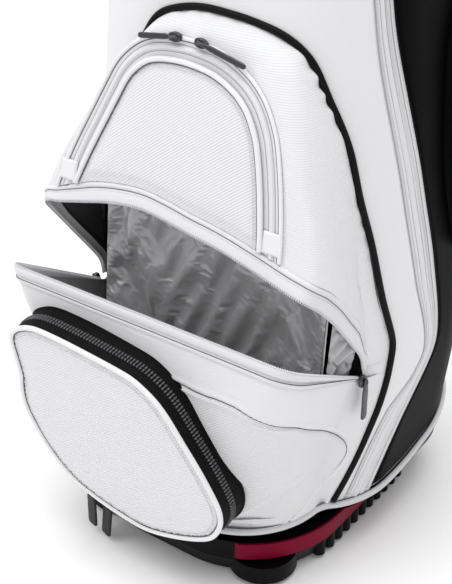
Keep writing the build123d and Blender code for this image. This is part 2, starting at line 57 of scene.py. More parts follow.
class Mat:
    """A Principled material with small helpers for weave, grain and colour variation."""

    def __init__(self, name, rgb, rough, **sockets):
        self.m = bpy.data.materials.new(name)
        self.m.use_nodes = True
        self.t = self.m.node_tree
        self.b = self.t.nodes["Principled BSDF"]
        self.rgb = linear(rgb)
        self.b.inputs["Base Color"].default_value = self.rgb
        self.b.inputs["Roughness"].default_value = rough
        self.m.diffuse_color = self.rgb
        for k, v in sockets.items():
            self.b.inputs[k.replace("_", " ")].default_value = v
        self.height = None

    def node(self, kind, **inputs):
        n = self.t.nodes.new(kind)
        for k, v in inputs.items():
            n.inputs[k].default_value = v
        return n

    def link(self, a, b):
        self.t.links.new(a, b)

    def coords(self, uv, scale, turn=0.0):
        c = self.t.nodes.new("ShaderNodeUVMap" if uv else "ShaderNodeTexCoord")
        if uv:
            c.uv_map = "cloth"
        m = self.node("ShaderNodeMapping")
        m.inputs["Scale"].default_value = (scale, scale, scale)
        m.inputs["Rotation"].default_value = (0, 0, math.radians(turn))
        self.link(c.outputs["UV" if uv else "Object"], m.inputs["Vector"])
        return m.outputs["Vector"]

    def add_height(self, out, weight):
        """Adds one pattern to the height that drives the bump."""
        k = self.node("ShaderNodeMath")
        k.operation = "MULTIPLY_ADD"
        k.inputs[1].default_value = weight
        k.inputs[2].default_value = 0.0
        self.link(out, k.inputs[0])
        if self.height is not None:
            self.link(self.height, k.inputs[2])
        self.height = k.outputs[0]
        return self

    def bands(self, pitch, turn, weight, uv=True, distort=0.0, shade=0.0):
        """Parallel ridges every pitch millimetres, turned in the cloth's plane."""
        w = self.node("ShaderNodeTexWave")
        w.bands_direction = "X"
        w.inputs["Scale"].default_value = 0.31416
        w.inputs["Distortion"].default_value = distort
        w.inputs["Detail Scale"].default_value = 0.5
        self.link(self.coords(uv, 1000.0 / pitch, turn), w.inputs["Vector"])
        self.add_height(w.outputs["Fac"], weight)
        # shade darkens the weave's low grooves: painted shade, not a colour of the yarn
        if shade:
            self.tint(w.outputs["Fac"], shade)
        return self

    def cloud(self, size, detail=2.0, uv=False):
        """Slow noise with features of the given size in millimetres."""
        n = self.node("ShaderNodeTexNoise", Scale=1.0, Detail=detail)
        self.link(self.coords(uv, 1000.0 / size), n.inputs["Vector"])
        return n.outputs["Fac"]

    def noise(self, size, weight, detail=3.0, uv=False):
        return self.add_height(self.cloud(size, detail, uv), weight)

    def pebble(self, size, weight):
        n = self.node("ShaderNodeTexVoronoi")
        n.feature = "SMOOTH_F1"
        n.inputs["Scale"].default_value = 1.0
        self.link(self.coords(False, 1000.0 / size), n.inputs["Vector"])
        return self.add_height(n.outputs["Distance"], weight)

    def tint(self, fac, amount):
        """Darkens the base colour a little where the pattern is low (in a weave: painted shade in its
        grooves).
        """
        ramp = self.node("ShaderNodeMix")
        ramp.data_type = "RGBA"
        low = tuple(c * (1 - amount) for c in self.rgb[:3]) + (1.0,)
        ramp.inputs[6].default_value = low
        ramp.inputs[7].default_value = self.rgb
        self.link(fac, ramp.inputs[0])
        self.link(ramp.outputs[2], self.b.inputs["Base Color"])
        return self

    def blotch(self, size, amount):
        """Slow change of colour over the surface."""
        return self.tint(self.cloud(size, 4.0), amount)

    def rough_noise(self, size, low, high):
        r = self.node("ShaderNodeMapRange")
        r.inputs["To Min"].default_value = low
        r.inputs["To Max"].default_value = high
        self.link(self.cloud(size), r.inputs["Value"])
        self.link(r.outputs["Result"], self.b.inputs["Roughness"])
        return self

    def bump(self, depth):
        """depth is the height of a full-weight pattern, in millimetres."""
        n = self.node("ShaderNodeBump")
        n.inputs["Strength"].default_value = 1.0
        n.inputs["Distance"].default_value = depth * MM
        self.link(self.height, n.inputs["Height"])
        self.link(n.outputs["Normal"], self.b.inputs["Normal"])
        return self.m


WHITE = (226, 226, 228)
leather_white = (Mat("leather_white", WHITE, 0.42, Coat_Weight=0.08).blotch(90, 0.03).pebble(1.1, 1.0)
                 .noise(6, 0.8).bump(0.10))
twill_white = (Mat("twill_white", WHITE, 0.62, Sheen_Weight=0.15).bands(2.3, 52, 1.0, shade=0.13)
               .noise(0.8, 0.08).bump(0.28))
rib_white = (Mat("rib_white", WHITE, 0.58, Sheen_Weight=0.12).bands(1.9, 90, 1.0, distort=0.2, shade=0.06)
             .noise(1.0, 0.1).bump(0.16))
band_white = (Mat("band_white", WHITE, 0.5, Sheen_Weight=0.1).bands(1.5, 60, 1.0, shade=0.035)
              .noise(1.0, 0.3).bump(0.13))
tape_white = (Mat("tape_white", (222, 222, 225), 0.66, Sheen_Weight=0.2).bands(1.3, 45, 0.6, shade=0.05)
              .bands(1.3, -45, 0.6).bump(0.12))
coil_white = Mat("coil_white", (214, 214, 217), 0.35).rough_noise(4, 0.3, 0.42).noise(1, 1.0).bump(0.03)
piping_white = (Mat("piping_white", (228, 228, 230), 0.4, Coat_Weight=0.1).blotch(40, 0.03).pebble(0.9, 1.0)
                .bump(0.06))
hem_grey = Mat("hem_grey", (205, 205, 208), 0.45).blotch(40, 0.05).pebble(0.9, 1.0).bump(0.07)
thread_white = Mat("thread_white", (206, 206, 210), 0.7).blotch(5, 0.1).noise(0.4, 1.0).bump(0.05)
# Thin grey cords laid in seam grooves are painted shadow: seam_shadow is the darker one, seam_soft_shadow
# the paler one.
groove_shadow_paint = Mat("seam_shadow", (92, 92, 96), 0.8).blotch(8, 0.2).noise(0.5, 1.0).bump(0.04)
groove_soft_shadow_paint = Mat("seam_soft_shadow", (168, 168, 172), 0.8).blotch(8, 0.15).noise(0.5, 1.0).bump(0.04)
leather_black = (Mat("leather_black", (3, 3, 4), 0.5, Specular_IOR_Level=0.04).blotch(60, 0.25)
                 .pebble(1.1, 1.0).noise(7, 0.7).bump(0.10))
piping_black = (Mat("piping_black", (10, 10, 11), 0.5, Specular_IOR_Level=0.12).blotch(20, 0.15)
                .pebble(0.8, 1.0).bump(0.06))
tape_black = (Mat("tape_black", (12, 12, 13), 0.65, Specular_IOR_Level=0.1).bands(1.6, 45, 0.6, shade=0.2)
              .bands(1.6, -45, 0.6).bump(0.16))
# The ball zipper's teeth are black; their base colour is lifted to grey as a painted highlight.
teeth_painted_highlight = (Mat("teeth_painted_highlight", (72, 72, 76), 0.3, Specular_IOR_Level=0.5).rough_noise(3, 0.24, 0.36)
               .noise(1.2, 1.0).bump(0.03))
thread_black = (Mat("thread_black", (40, 40, 42), 0.6, Specular_IOR_Level=0.2).blotch(5, 0.2)
                .noise(0.4, 1.0).bump(0.05))
satin = (Mat("grey_satin", (186, 186, 188), 0.34, Metallic=0.3, Sheen_Weight=0.15).blotch(60, 0.25)
         .bands(0.9, 0, 0.4).noise(5, 1.0, 5.0).bump(0.10))
lining_grey = (Mat("lining_grey", (84, 84, 86), 0.5, Specular_IOR_Level=0.3).blotch(40, 0.2)
               .bands(0.9, 0, 0.5, uv=False).noise(8, 1.0).bump(0.12))
lining_black = (Mat("lining_black", (5, 5, 6), 0.6, Specular_IOR_Level=0.08).blotch(50, 0.3)
                .bands(0.9, 45, 0.5, uv=False).noise(9, 1.0).bump(0.2))
moulded = (Mat("black_moulding", (3, 3, 3), 0.45, Specular_IOR_Level=0.1).rough_noise(12, 0.36, 0.52)
           .pebble(0.7, 1.0).noise(2, 0.5).bump(0.05))
rubber = (Mat("foot_rubber", (6, 6, 7), 0.5, Specular_IOR_Level=0.12).rough_noise(9, 0.5, 0.62)
          .noise(0.8, 1.0).bump(0.06))
grip = (Mat("grip_rubber", (13, 13, 14), 0.6, Specular_IOR_Level=0.25).bands(2.2, 45, 0.6, uv=False)
        .bands(2.2, -45, 0.6, uv=False).bump(0.25))
crimson = (Mat("crimson_inlay", (118, 4, 40), 0.45, Specular_IOR_Level=0.08).blotch(18, 0.12)
           .pebble(1.2, 1.0).bump(0.06))
foam = Mat("foam", (52, 52, 54), 0.9).blotch(10, 0.2).noise(1.6, 1.0, 5.0).bump(0.35)
webbing = (Mat("webbing", (12, 12, 13), 0.7, Specular_IOR_Level=0.2).bands(1.8, 90, 0.8, uv=True, shade=0.3)
           .bands(3.0, 0, 0.5).bump(0.3))
silver = (Mat("silver_metal", (190, 190, 193), 0.2, Metallic=1.0).rough_noise(6, 0.15, 0.3).noise(1.5, 1.0)
          .bump(0.02))
# The zip sliders and pulls are silver; this metal's colour is darkened as painted shade for the dark
# reflections they show. The strap D-rings and base screws use it too.
dark_metal = (Mat("dark_metal", (84, 84, 88), 0.22, Metallic=1.0).rough_noise(6, 0.2, 0.36).noise(1.5, 1.0)
              .bump(0.02))
puller = (Mat("puller_rubber", (12, 12, 13), 0.45, Specular_IOR_Level=0.35).rough_noise(5, 0.4, 0.52)
          .noise(0.7, 1.0).bump(0.04))
aluminium = (Mat("aluminium", (170, 172, 175), 0.32, Metallic=1.0).rough_noise(10, 0.26, 0.42)
             .bands(0.8, 90, 1.0, uv=False).bump(0.02))
fleece = (Mat("divider_fleece", (16, 16, 17), 0.85, Sheen_Weight=0.2).blotch(14, 0.3).noise(1.1, 1.0, 5.0)
          .bump(0.3))


# ------------------------------------------------------------------ mesh helpers
def make(name, verts, faces, mat, body="root", uv=None, node=(), slot=None, smooth=True, ride=True):
    """One mesh object from points in millimetres."""
    mesh = bpy.data.meshes.new(name)
    verts = np.asarray(verts, float).reshape(-1, 3) * MM
    mesh.from_pydata(verts.tolist(), [], [tuple(int(i) for i in f) for f in faces])
    if uv is not None:
        layer = mesh.uv_layers.new(name="cloth")
        loops = np.zeros(len(mesh.loops), int)
        mesh.loops.foreach_get("vertex_index", loops)
        layer.data.foreach_set("uv", (np.asarray(uv, float).reshape(-1, 2)[loops] * MM).ravel())
    mesh.polygons.foreach_set("use_smooth", [smooth] * len(mesh.polygons))
    mesh.update()
    mesh.materials.append(mat)
    piece = bpy.data.objects.new(name, mesh)
    bpy.context.scene.collection.objects.link(piece)
    if ride:
        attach(piece, body)
    if node:
        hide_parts(*([node] if isinstance(node, str) else node))
    return piece


def unit(rows):
    """Each row scaled to length 1."""
    return rows / np.linalg.norm(rows, axis=1, keepdims=True)


def bell(x, width):
    return np.exp(-(x / width) ** 2)


def powered(x, p):
    """x to the power p, with its sign kept."""
    return np.sign(x) * np.abs(x) ** p


def run_along(line):
    """Length along a line at each of its points."""
    return np.r_[0, np.cumsum(np.linalg.norm(np.diff(line, axis=0), axis=1))]


def averaged(rows, width, closed=False):
    """The running mean of a line's points."""
    pad, kernel = width // 2, np.ones(width) / width
    rows = (np.vstack([rows[-pad:], rows, rows[:pad]]) if closed
            else np.pad(rows, ((pad, pad), (0, 0)), "edge"))
    return np.stack([np.convolve(rows[:, k], kernel, "valid") for k in range(rows.shape[1])], 1)


def bezier(a, b, c, d, t):
    return (1 - t) ** 3 * a + 3 * (1 - t) ** 2 * t * b + 3 * (1 - t) * t ** 2 * c + t ** 3 * d


def face_out(piece, normal, i=0):
    """Turns a surface so that its face number i looks along the normal."""
    if piece.data.polygons[i].normal @ Vector(normal) < 0:
        piece.data.flip_normals()


def quads(rows, cols, wrap_cols=False):
    i, j = np.meshgrid(np.arange(rows - 1), np.arange(cols if wrap_cols else cols - 1), indexing="ij")
    k = (j + 1) % cols
    return np.stack([i * cols + j, i * cols + k, (i + 1) * cols + k, (i + 1) * cols + j], -1).reshape(-1, 4)


def capped(rows, cols):
    """Faces of a closed tube of rings, with both ends filled."""
    ends = [tuple(range(cols))[::-1], tuple(range((rows - 1) * cols, rows * cols))]
    return [tuple(f) for f in quads(rows, cols, True)] + ends


def grid_uv(points):
    """Cloth coordinates of a grid: arc length along its rows and columns, from the middle."""
    du = np.linalg.norm(np.diff(points, axis=1), axis=2)
    u = np.concatenate([np.zeros((len(points), 1)), np.cumsum(du, 1)], 1)
    u -= u[:, u.shape[1] // 2][:, None]
    dv = np.linalg.norm(np.diff(points, axis=0), axis=2)
    v = np.concatenate([np.zeros((1, points.shape[1])), np.cumsum(dv, 0)], 0)
    return np.stack([u, v], -1)


def grid(name, points, mat, flip=False, **kw):
    points = np.asarray(points, float)
    faces = quads(points.shape[0], points.shape[1])
    if flip:
        faces = faces[:, ::-1]
    kw.setdefault("uv", grid_uv(points))
    return make(name, points, faces, mat, **kw)


def normals(points):
    """Unit normals of a grid of points."""
    gu = np.gradient(points, axis=1)
    gv = np.gradient(points, axis=0)
    n = np.cross(gu, gv)
    return n / np.maximum(np.linalg.norm(n, axis=2, keepdims=True), 1e-9)


def resample(line, n=None, step=None, closed=False):
    line = np.asarray(line, float)
    if closed:
        line = np.vstack([line, line[:1]])
    d = run_along(line)
    if n is None:
        n = max(int(round(d[-1] / step)), 2) + (0 if closed else 1)
    t = np.linspace(0, d[-1], n + 1)[:-1] if closed else np.linspace(0, d[-1], n)
    return np.stack([np.interp(t, d, line[:, k]) for k in range(line.shape[1])], 1)


def smooth_line(points, n, closed=False):
    """A smooth curve through the points."""
    p = np.asarray(points, float)
    if closed:
        p = np.vstack([p[-2:], p, p[:3]])
    else:
        p = np.vstack([2 * p[0] - p[1], p, 2 * p[-1] - p[-2]])
    out = []
    for a, b, c, d in zip(p[:-3], p[1:-2], p[2:-1], p[3:]):
        t = np.linspace(0, 1, 24, endpoint=False)[:, None]
        out.append(0.5 * (2 * b + (c - a) * t + (2 * a - 5 * b + 4 * c - d) * t ** 2
                          + (3 * b - a - 3 * c + d) * t ** 3))
    out = np.vstack(out + [p[-2][None]])
    if closed:
        out = np.vstack(out)[24:-24 - 1]
    return resample(out, n)


def frames(line, closed=False, up=None):
    """Tangent, side and normal along a line, carried without twist."""
    t = np.gradient(line, axis=0) if not closed else np.roll(line, -1, 0) - np.roll(line, 1, 0)
    t /= np.maximum(np.linalg.norm(t, axis=1, keepdims=True), 1e-9)
    if up is not None:
        n = np.asarray(up, float) * np.ones_like(t)
        n = unit(n - (n * t).sum(1, keepdims=True) * t)
        return t, np.cross(t, n), n
    n = np.zeros_like(t)
    start = V(0, 0, 1) if abs(t[0][2]) < 0.9 else V(1, 0, 0)
    n[0] = start - start.dot(t[0]) * t[0]
    n[0] /= np.linalg.norm(n[0])
    for i in range(1, len(t)):
        n[i] = n[i - 1] - n[i - 1].dot(t[i]) * t[i]
        n[i] /= np.linalg.norm(n[i])
    return t, np.cross(t, n), n


def tube(name, line, r, mat, closed=False, sides=12, **kw):
    """A round cord of radius r along a line, its ends closed in."""
    line = np.asarray(line, float)
    _t, s, n = frames(line, closed)
    a = np.linspace(0, 2 * math.pi, sides, endpoint=False)
    radius = np.full(len(line), float(r)) if np.isscalar(r) else np.asarray(r, float)
    if not closed:
        radius = radius.copy()
        radius[0] *= 0.25
        radius[-1] *= 0.25
    ring = (line[:, None] + radius[:, None, None] * (np.cos(a)[None, :, None] * s[:, None]
            + np.sin(a)[None, :, None] * n[:, None]))
    rows = len(line)
    verts = ring.reshape(-1, 3)
    faces = quads(rows + 1, sides, True) % (rows * sides) if closed else capped(rows, sides)
    d = run_along(line)
    uv = np.stack([np.repeat(d, sides), np.tile(a * np.max(radius), rows)], 1)
    return make(name, verts, faces, mat, uv=uv, **kw)


def scatter(name, shape_v, shape_f, places, mat, **kw):
    """Many copies of a small closed form; places are (origin, x, y, z) rows."""
    verts, faces = [], []
    shape_v = np.asarray(shape_v, float)
    for k, (o, x, y, z) in enumerate(places):
        verts.append(o + shape_v[:, :1] * x + shape_v[:, 1:2] * y + shape_v[:, 2:] * z)
        faces += [tuple(i + k * len(shape_v) for i in f) for f in shape_f]
    return make(name, np.vstack(verts), faces, mat, **kw)


def lozenge(lx, ly, lz):
    """A small rounded bar, eight-sided across its length."""
    a = np.linspace(0, 2 * math.pi, 8, endpoint=False)
    rings = [(-0.5, 0.45), (-0.32, 0.95), (0.32, 0.95), (0.5, 0.45)]
    v = [(lx * p, ly / 2 * q * math.cos(b), lz / 2 * q * math.sin(b)) for p, q in rings for b in a]
    return np.array(v), capped(4, 8)


STITCH = lozenge(2.3, 0.75, 0.6)


def stitches(name, line, up, mat, pitch=3.1, shape=STITCH, **kw):
    """A row of short stitches or teeth lying on a surface; up is its outward direction."""
    line = np.asarray(line, float)
    p = resample(np.c_[line, up], step=pitch)
    line, up = p[:, :3], p[:, 3:]
    t, s, n = frames(line, up=up)
    return scatter(name, *shape, [(line[i], t[i], s[i], n[i]) for i in range(len(line))], mat, **kw)


def near(points, line):
    """Distance of each point to the nearest of a line's points."""
    flat = points.reshape(-1, points.shape[-1])
    best = np.full(len(flat), 1e9)
    for k in range(0, len(line), 64):
        best = np.minimum(best, np.linalg.norm(flat[:, None] - line[None, k:k + 64], axis=2).min(1))
    return best.reshape(points.shape[:-1])


def snap(line, points, up, out=0.0):
    """The nearest places of a surface grid to a line, with their outward directions."""
    flat, nrm = points.reshape(-1, 3), up.reshape(-1, 3)
    got = [np.linalg.norm(flat - p, axis=1).argsort()[:4] for p in line]
    pos = np.array([flat[g].mean(0) for g in got])
    n = unit(np.array([nrm[g].mean(0) for g in got]))
    soft = averaged(pos, 5)
    soft[0], soft[-1] = pos[0], pos[-1]
    return soft + n * out, n


def fillet(points, step=2.0):
    """A closed outline from corners (x, y, radius)."""
    out = []
    n = len(points)
    for i in range(n):
        b = np.array(points[i][:2], float)
        a, c = np.array(points[i - 1][:2], float), np.array(points[(i + 1) % n][:2], float)
        da, dc = (a - b), (c - b)
        la, lc = np.linalg.norm(da), np.linalg.norm(dc)
        da, dc = da / la, dc / lc
        half = math.acos(np.clip(da.dot(dc), -1, 1)) / 2
        cut = min(points[i][2] / math.tan(half), 0.48 * la, 0.48 * lc)
        r = cut * math.tan(half)
        mid = da + dc
        centre = b + mid / np.linalg.norm(mid) * r / math.sin(half)
        s, e = b + da * cut - centre, b + dc * cut - centre
        a0, a1 = math.atan2(s[1], s[0]), math.atan2(e[1], e[0])
        turn = (a1 - a0 + math.pi) % (2 * math.pi) - math.pi
        for q in np.linspace(0, 1, 14):
            w = a0 + turn * q
            out.append(centre + r * np.array([math.cos(w), math.sin(w)]))
    return resample(np.array(out), step=step, closed=True)


def inset(outline, d):
    """The outline moved inwards by d."""
    t = unit(np.roll(outline, -1, 0) - np.roll(outline, 1, 0))
    n = np.stack([-t[:, 1], t[:, 0]], 1)
    x, y = outline[:, 0], outline[:, 1]
    area = 0.5 * np.sum(x * np.roll(y, -1) - y * np.roll(x, -1))
    return outline + n * (d if area > 0 else -d)


def inside(pts, outline):
    """Which points lie within a closed outline."""
    hit = np.zeros(len(pts), bool)
    for p, q in zip(outline, np.roll(outline, -1, 0)):
        cross = (p[1] > pts[:, 1]) != (q[1] > pts[:, 1])
        x = (q[0] - p[0]) * (pts[:, 1] - p[1]) / (q[1] - p[1] + 1e-12) + p[0]
        hit ^= cross & (pts[:, 0] < x)
    return hit


def filled(outline, pitch):
    """Triangles that fill an outline, with even points inside it."""
    lo, hi = outline.min(0), outline.max(0)
    gx, gy = np.meshgrid(np.arange(lo[0], hi[0], pitch), np.arange(lo[1], hi[1], pitch * 0.87),
                         indexing="ij")
    gx = gx + (np.arange(gx.shape[1]) % 2)[None, :] * pitch / 2
    pts = np.stack([gx.ravel(), gy.ravel()], 1)
    d = near(pts, resample(outline, step=pitch / 2, closed=True))
    pts = pts[inside(pts, outline) & (d > pitch * 0.6)]
    allp = np.vstack([outline, pts])
    n = len(outline)
    edges = [(i, (i + 1) % n) for i in range(n)]
    res = delaunay_2d_cdt([Vector(p) for p in allp], edges, [list(range(n))], 1, 1e-4)
    verts = np.array([tuple(v) for v in res[0]])
    return verts, [tuple(f) for f in res[2]], near(verts, resample(outline, step=0.8, closed=True))


def curve_of(xs, ys):
    """A smooth function through table rows, monotone between them, level outside."""
    xs, ys = np.asarray(xs, float), np.asarray(ys, float)
    one = ys.ndim == 1
    ys = ys.reshape(len(xs), -1)
    d = np.diff(ys, axis=0) / np.diff(xs)[:, None]
    m = np.zeros_like(ys)
    a, b = d[:-1], d[1:]
    safe = np.where(np.abs(a + b) < 1e-9, 1.0, a + b)
    m[1:-1] = np.where(a * b > 0, 2 * a * b / safe, 0)
    m[0], m[-1] = d[0], d[-1]

    def f(x):
        x = np.clip(np.asarray(x, float), xs[0], xs[-1])
        i = np.clip(np.searchsorted(xs, x) - 1, 0, len(xs) - 2)
        h = (xs[i + 1] - xs[i])[..., None]
        t = (x - xs[i])[..., None] / h
        y = ((2 * t ** 3 - 3 * t ** 2 + 1) * ys[i] + (t ** 3 - 2 * t ** 2 + t) * h * m[i]
             + (-2 * t ** 3 + 3 * t ** 2) * ys[i + 1] + (t ** 3 - t ** 2) * h * m[i + 1])
        return y[..., 0] if one else y
    return f


def wobble(points, size, seed=0.0):
    """Smooth noise at the points, about -1 to 1, from a few slow waves."""
    p = np.asarray(points, float) / size
    out = np.zeros(p.shape[:-1])
    r = np.random.default_rng(int(seed * 10) + 5)
    for _ in range(7):
        k, ph = r.normal(size=3), r.uniform(0, 6.28)
        out += np.sin(p @ k * 1.4 + ph)
    return out / 3.5


# ------------------------------------------------------------------ the bag's form
BACK = 170.0
TRUNK = curve_of([20, 60, 225, 380, 533, 700, 920],
                 [(147, -95, 86), (153, -95, 90), (172, -95, 105), (165, -95, 102), (150, -93, 100),
                  (142, -92, 96), (138, -92, 94)])
TUB = curve_of([50, 120, 200, 262, 310], [(119, -159, 86), (134, -175, 76), (148, -184, 56),
                                          (155.5, -185.5, 26), (158, -186, 15)])
HEM = curve_of([-220, 12, 75, 135, 260], [60, 60, 72, 100, 110])
ZIP_FRONT = curve_of([50, 160, 210, 290, 402, 516, 640, 860], [-58, -26, 21, -3, -27, -43, -50, -52])
ZIP_REAR = curve_of([50, 134, 212, 298, 386, 463, 540, 660, 860], [-30, 0, 46, 30, 5, -14, -28, -37, -38])
TRUNK_TOP = 846.0
MOUTH = V(0, -57, 210)


def ring(half, front, back, r, s):
    """Point and outward direction at arc length s from the middle of the front."""
    a, side = np.abs(s), np.where(s < 0, -1.0, 1.0)
    l1 = half - r
    l2 = l1 + r * math.pi / 2
    l3 = l2 + (back - front - 2 * r)
    l4 = l3 + r * math.pi / 2
    t1, t2 = (a - l1) / r, (a - l3) / r
    pick = [a < l1, a < l2, a < l3, a < l4]
    x = np.select(pick, [a, l1 + r * np.sin(t1), half, l1 + r * np.cos(t2)], l1 - (a - l4))
    y = np.select(pick, [front + 0 * a, front + r - r * np.cos(t1), front + r + a - l2,
                         back - r + r * np.sin(t2)], back + 0 * a)
    nx = np.select(pick, [0 * a, np.sin(t1), 1 + 0 * a, np.cos(t2)], 0 * a)
    ny = np.select(pick, [-1 + 0 * a, -np.cos(t1), 0 * a, np.sin(t2)], 1 + 0 * a)
    return x * side, y, nx * side, ny


def trunk_at(s, z, out=0.0):
    h = TRUNK(z)
    x, y, nx, ny = ring(h[..., 0], h[..., 1], BACK, h[..., 2], s)
    return np.stack([x + nx * out, y + ny * out, z + 0 * x], -1), np.stack([nx, ny, 0 * nx], -1)


def trunk_s(y, z):
    """Arc length at which the trunk's side stands at y."""
    h = TRUNK(z)
    half, front, r = h[..., 0], h[..., 1], h[..., 2]
    l1 = half - r
    l2 = l1 + r * math.pi / 2
    l3 = l2 + (BACK - front - 2 * r)
    front_arc = l1 + r * np.arccos(np.clip((front + r - y) / r, -1, 1))
    rear_arc = l3 + r * np.arcsin(np.clip((y - BACK + r) / r, -1, 1))
    return np.where(y < front + r, front_arc, np.where(y > BACK - r, rear_arc, l2 + y - front - r))


def trunk_y(x, z):
    h = TRUNK(z)
    past = np.clip(np.abs(x) - (h[..., 0] - h[..., 2]), 0, h[..., 2] * 0.999)
    return h[..., 1] + h[..., 2] - np.sqrt(h[..., 2] ** 2 - past ** 2)


def front_run(x, z):
    """Arc length from the middle of the trunk's front to the place x across it."""
    h = TRUNK(z)
    flat, r = h[..., 0] - h[..., 2], h[..., 2]
    return np.minimum(x, flat) + r * np.arcsin(np.clip((x - flat) / r, 0, 1))


def spread(length, n):
    """Fractions 0..1 with extra places near both ends, for edges that roll in."""
    near_edge = np.array([0, 0.7, 1.5, 2.5, 4.0, 6.0]) / length
    mid = np.linspace(near_edge[-1], 1 - near_edge[-1], n)
    return np.r_[near_edge[:-1], mid, 1 - near_edge[-2::-1]]


def trunk_panel(name, left, right, mat, node, n=30, rows=150, out=0.0, roll=1.6, top=TRUNK_TOP, low=None,
                lift=None, slot=None):
    """A trunk panel between two seams, from the hem to the cuff, its edges rolled in."""
    mid = 450.0
    width = abs(float(right(mid) - left(mid)))
    q = spread(width, n)[None, :]
    f = np.linspace(0, 1, rows)[:, None]
    z0 = np.full((1, q.shape[1]), 60.0)
    if low is None:
        for _ in range(12):
            p, _n = trunk_at(left(z0) + (right(z0) - left(z0)) * q, z0)
            z0 = 0.5 * z0 + 0.5 * HEM(p[..., 1])
    else:
        z0[:] = low
    z = z0 + (top - z0) * f
    a, b = left(z), right(z)
    s = a + (b - a) * q
    edge = np.minimum(np.abs(s - a), np.abs(b - s))
    off = out - roll * bell(edge, 2.2)
    if lift is not None:
        off = off + lift(q, z, s)
    p, nrm = trunk_at(s, z, off)
    p = p + nrm * (0.5 * wobble(p, 70, 1) * np.clip(edge / 20, 0, 1))[..., None]
    uv = np.stack([s, z], -1)
    grid(name, p, mat, uv=uv, node=node, slot=slot, flip=bool(float(right(mid) - left(mid)) < 0))


def seam_line(f, z0, z1, n=220, out=0.0, side=1):
    z = np.linspace(z0, z1, n)
    return trunk_at(side * f(z), z, out)


front_s = lambda z: trunk_s(ZIP_FRONT(z), z)
rear_s = lambda z: trunk_s(ZIP_REAR(z), z)
back_s = lambda z: trunk_s(128.0 + 0 * z, z)
across_zip = lambda k: lambda z: front_s(z) + (rear_s(z) - front_s(z)) * k

trunk_panel("front_panel_skin", lambda z: -front_s(z), front_s, leather_white, "front_panel", n=90,
            rows=170, slot="white_leather")


def zip_profile(q, z, s):
    """Across the side zipper: tape, piped ridge, coil cover, tape."""
    h = 2.1 * bell(q - 0.36, 0.085) + 1.5 * bell(q - 0.60, 0.075)
    h = h + 1.0 * bell(q - 0.88, 0.07) + 0.7 * bell(q - 0.12, 0.08)
    return h - 0.9


for side, word in ((1, "right"), (-1, "left")):
    trunk_panel(f"side_zip_{word}_tape", lambda z, k=side: k * front_s(z), lambda z, k=side: k * rear_s(z),
                tape_white, f"side_zip_{word}", n=34, roll=1.2, lift=zip_profile, slot="white_zipper")
    trunk_panel(f"side_panel_{word}_skin", lambda z, k=side: k * rear_s(z), lambda z, k=side: k * back_s(z),
                leather_black, f"side_panel_{word}", n=50, slot="black_leather")
    # Cords a to d are painted soft shadow in the zipper's seam grooves; cord e is the black piping.
    for tag, q, mat in (("a", 0.0, groove_soft_shadow_paint), ("b", 0.235, groove_soft_shadow_paint), ("c", 0.48, groove_soft_shadow_paint),
                        ("d", 0.745, groove_soft_shadow_paint), ("e", 1.0, piping_black)):
        line, nrm = seam_line(across_zip(q), 66, 843, out=-0.75, side=side)
        tube(f"side_seam_{word}_{tag}", line, 0.38, mat, sides=6)
    for tag, q, out in (("a", 0.10, 0.0), ("b", 0.86, 0.2)):
        line, nrm = seam_line(across_zip(q), 70, 838, out=out, side=side)
        stitches(f"side_stitch_{word}_{tag}", line, nrm, thread_white)
    line, nrm = seam_line(across_zip(0.60), 70, 842, n=400, out=0.35, side=side)
    stitches(f"side_coil_{word}", line, nrm, coil_white, pitch=1.9, shape=lozenge(1.1, 3.2, 1.5))
    line, nrm = seam_line(back_s, 104, 843, out=0.2, side=side)
    tube(f"back_piping_{word}", line, 2.6, piping_white, sides=10)
    for tag, off in (("a", -6.0), ("b", 6.0)):
        line, nrm = seam_line(lambda z, k=off: back_s(z) + k, 112, 838, out=0.1, side=side)
        stitches(f"back_stitch_{word}_{tag}", line, nrm, thread_black if off < 0 else thread_white)

wrap = lambda z: 2 * trunk_s(BACK + 0 * z, z) + 2 * (TRUNK(z)[..., 0] - TRUNK(z)[..., 2]) - back_s(z)
trunk_panel("back_panel_skin", back_s, wrap, leather_white, "back_panel", n=90, slot="white_leather")

# inner lining of the trunk, seen down the club wells
z_in = np.linspace(66, 845, 60)[:, None] * np.ones((1, 160))
s_in = np.linspace(-1, 1, 160)[None, :] * (trunk_s(BACK + 0 * z_in, z_in) + TRUNK(z_in)[..., 0]
                                           - TRUNK(z_in)[..., 2])
lining, _n = trunk_at(s_in, z_in, -7.0)
grid("trunk_lining", lining, lining_black, flip=True)

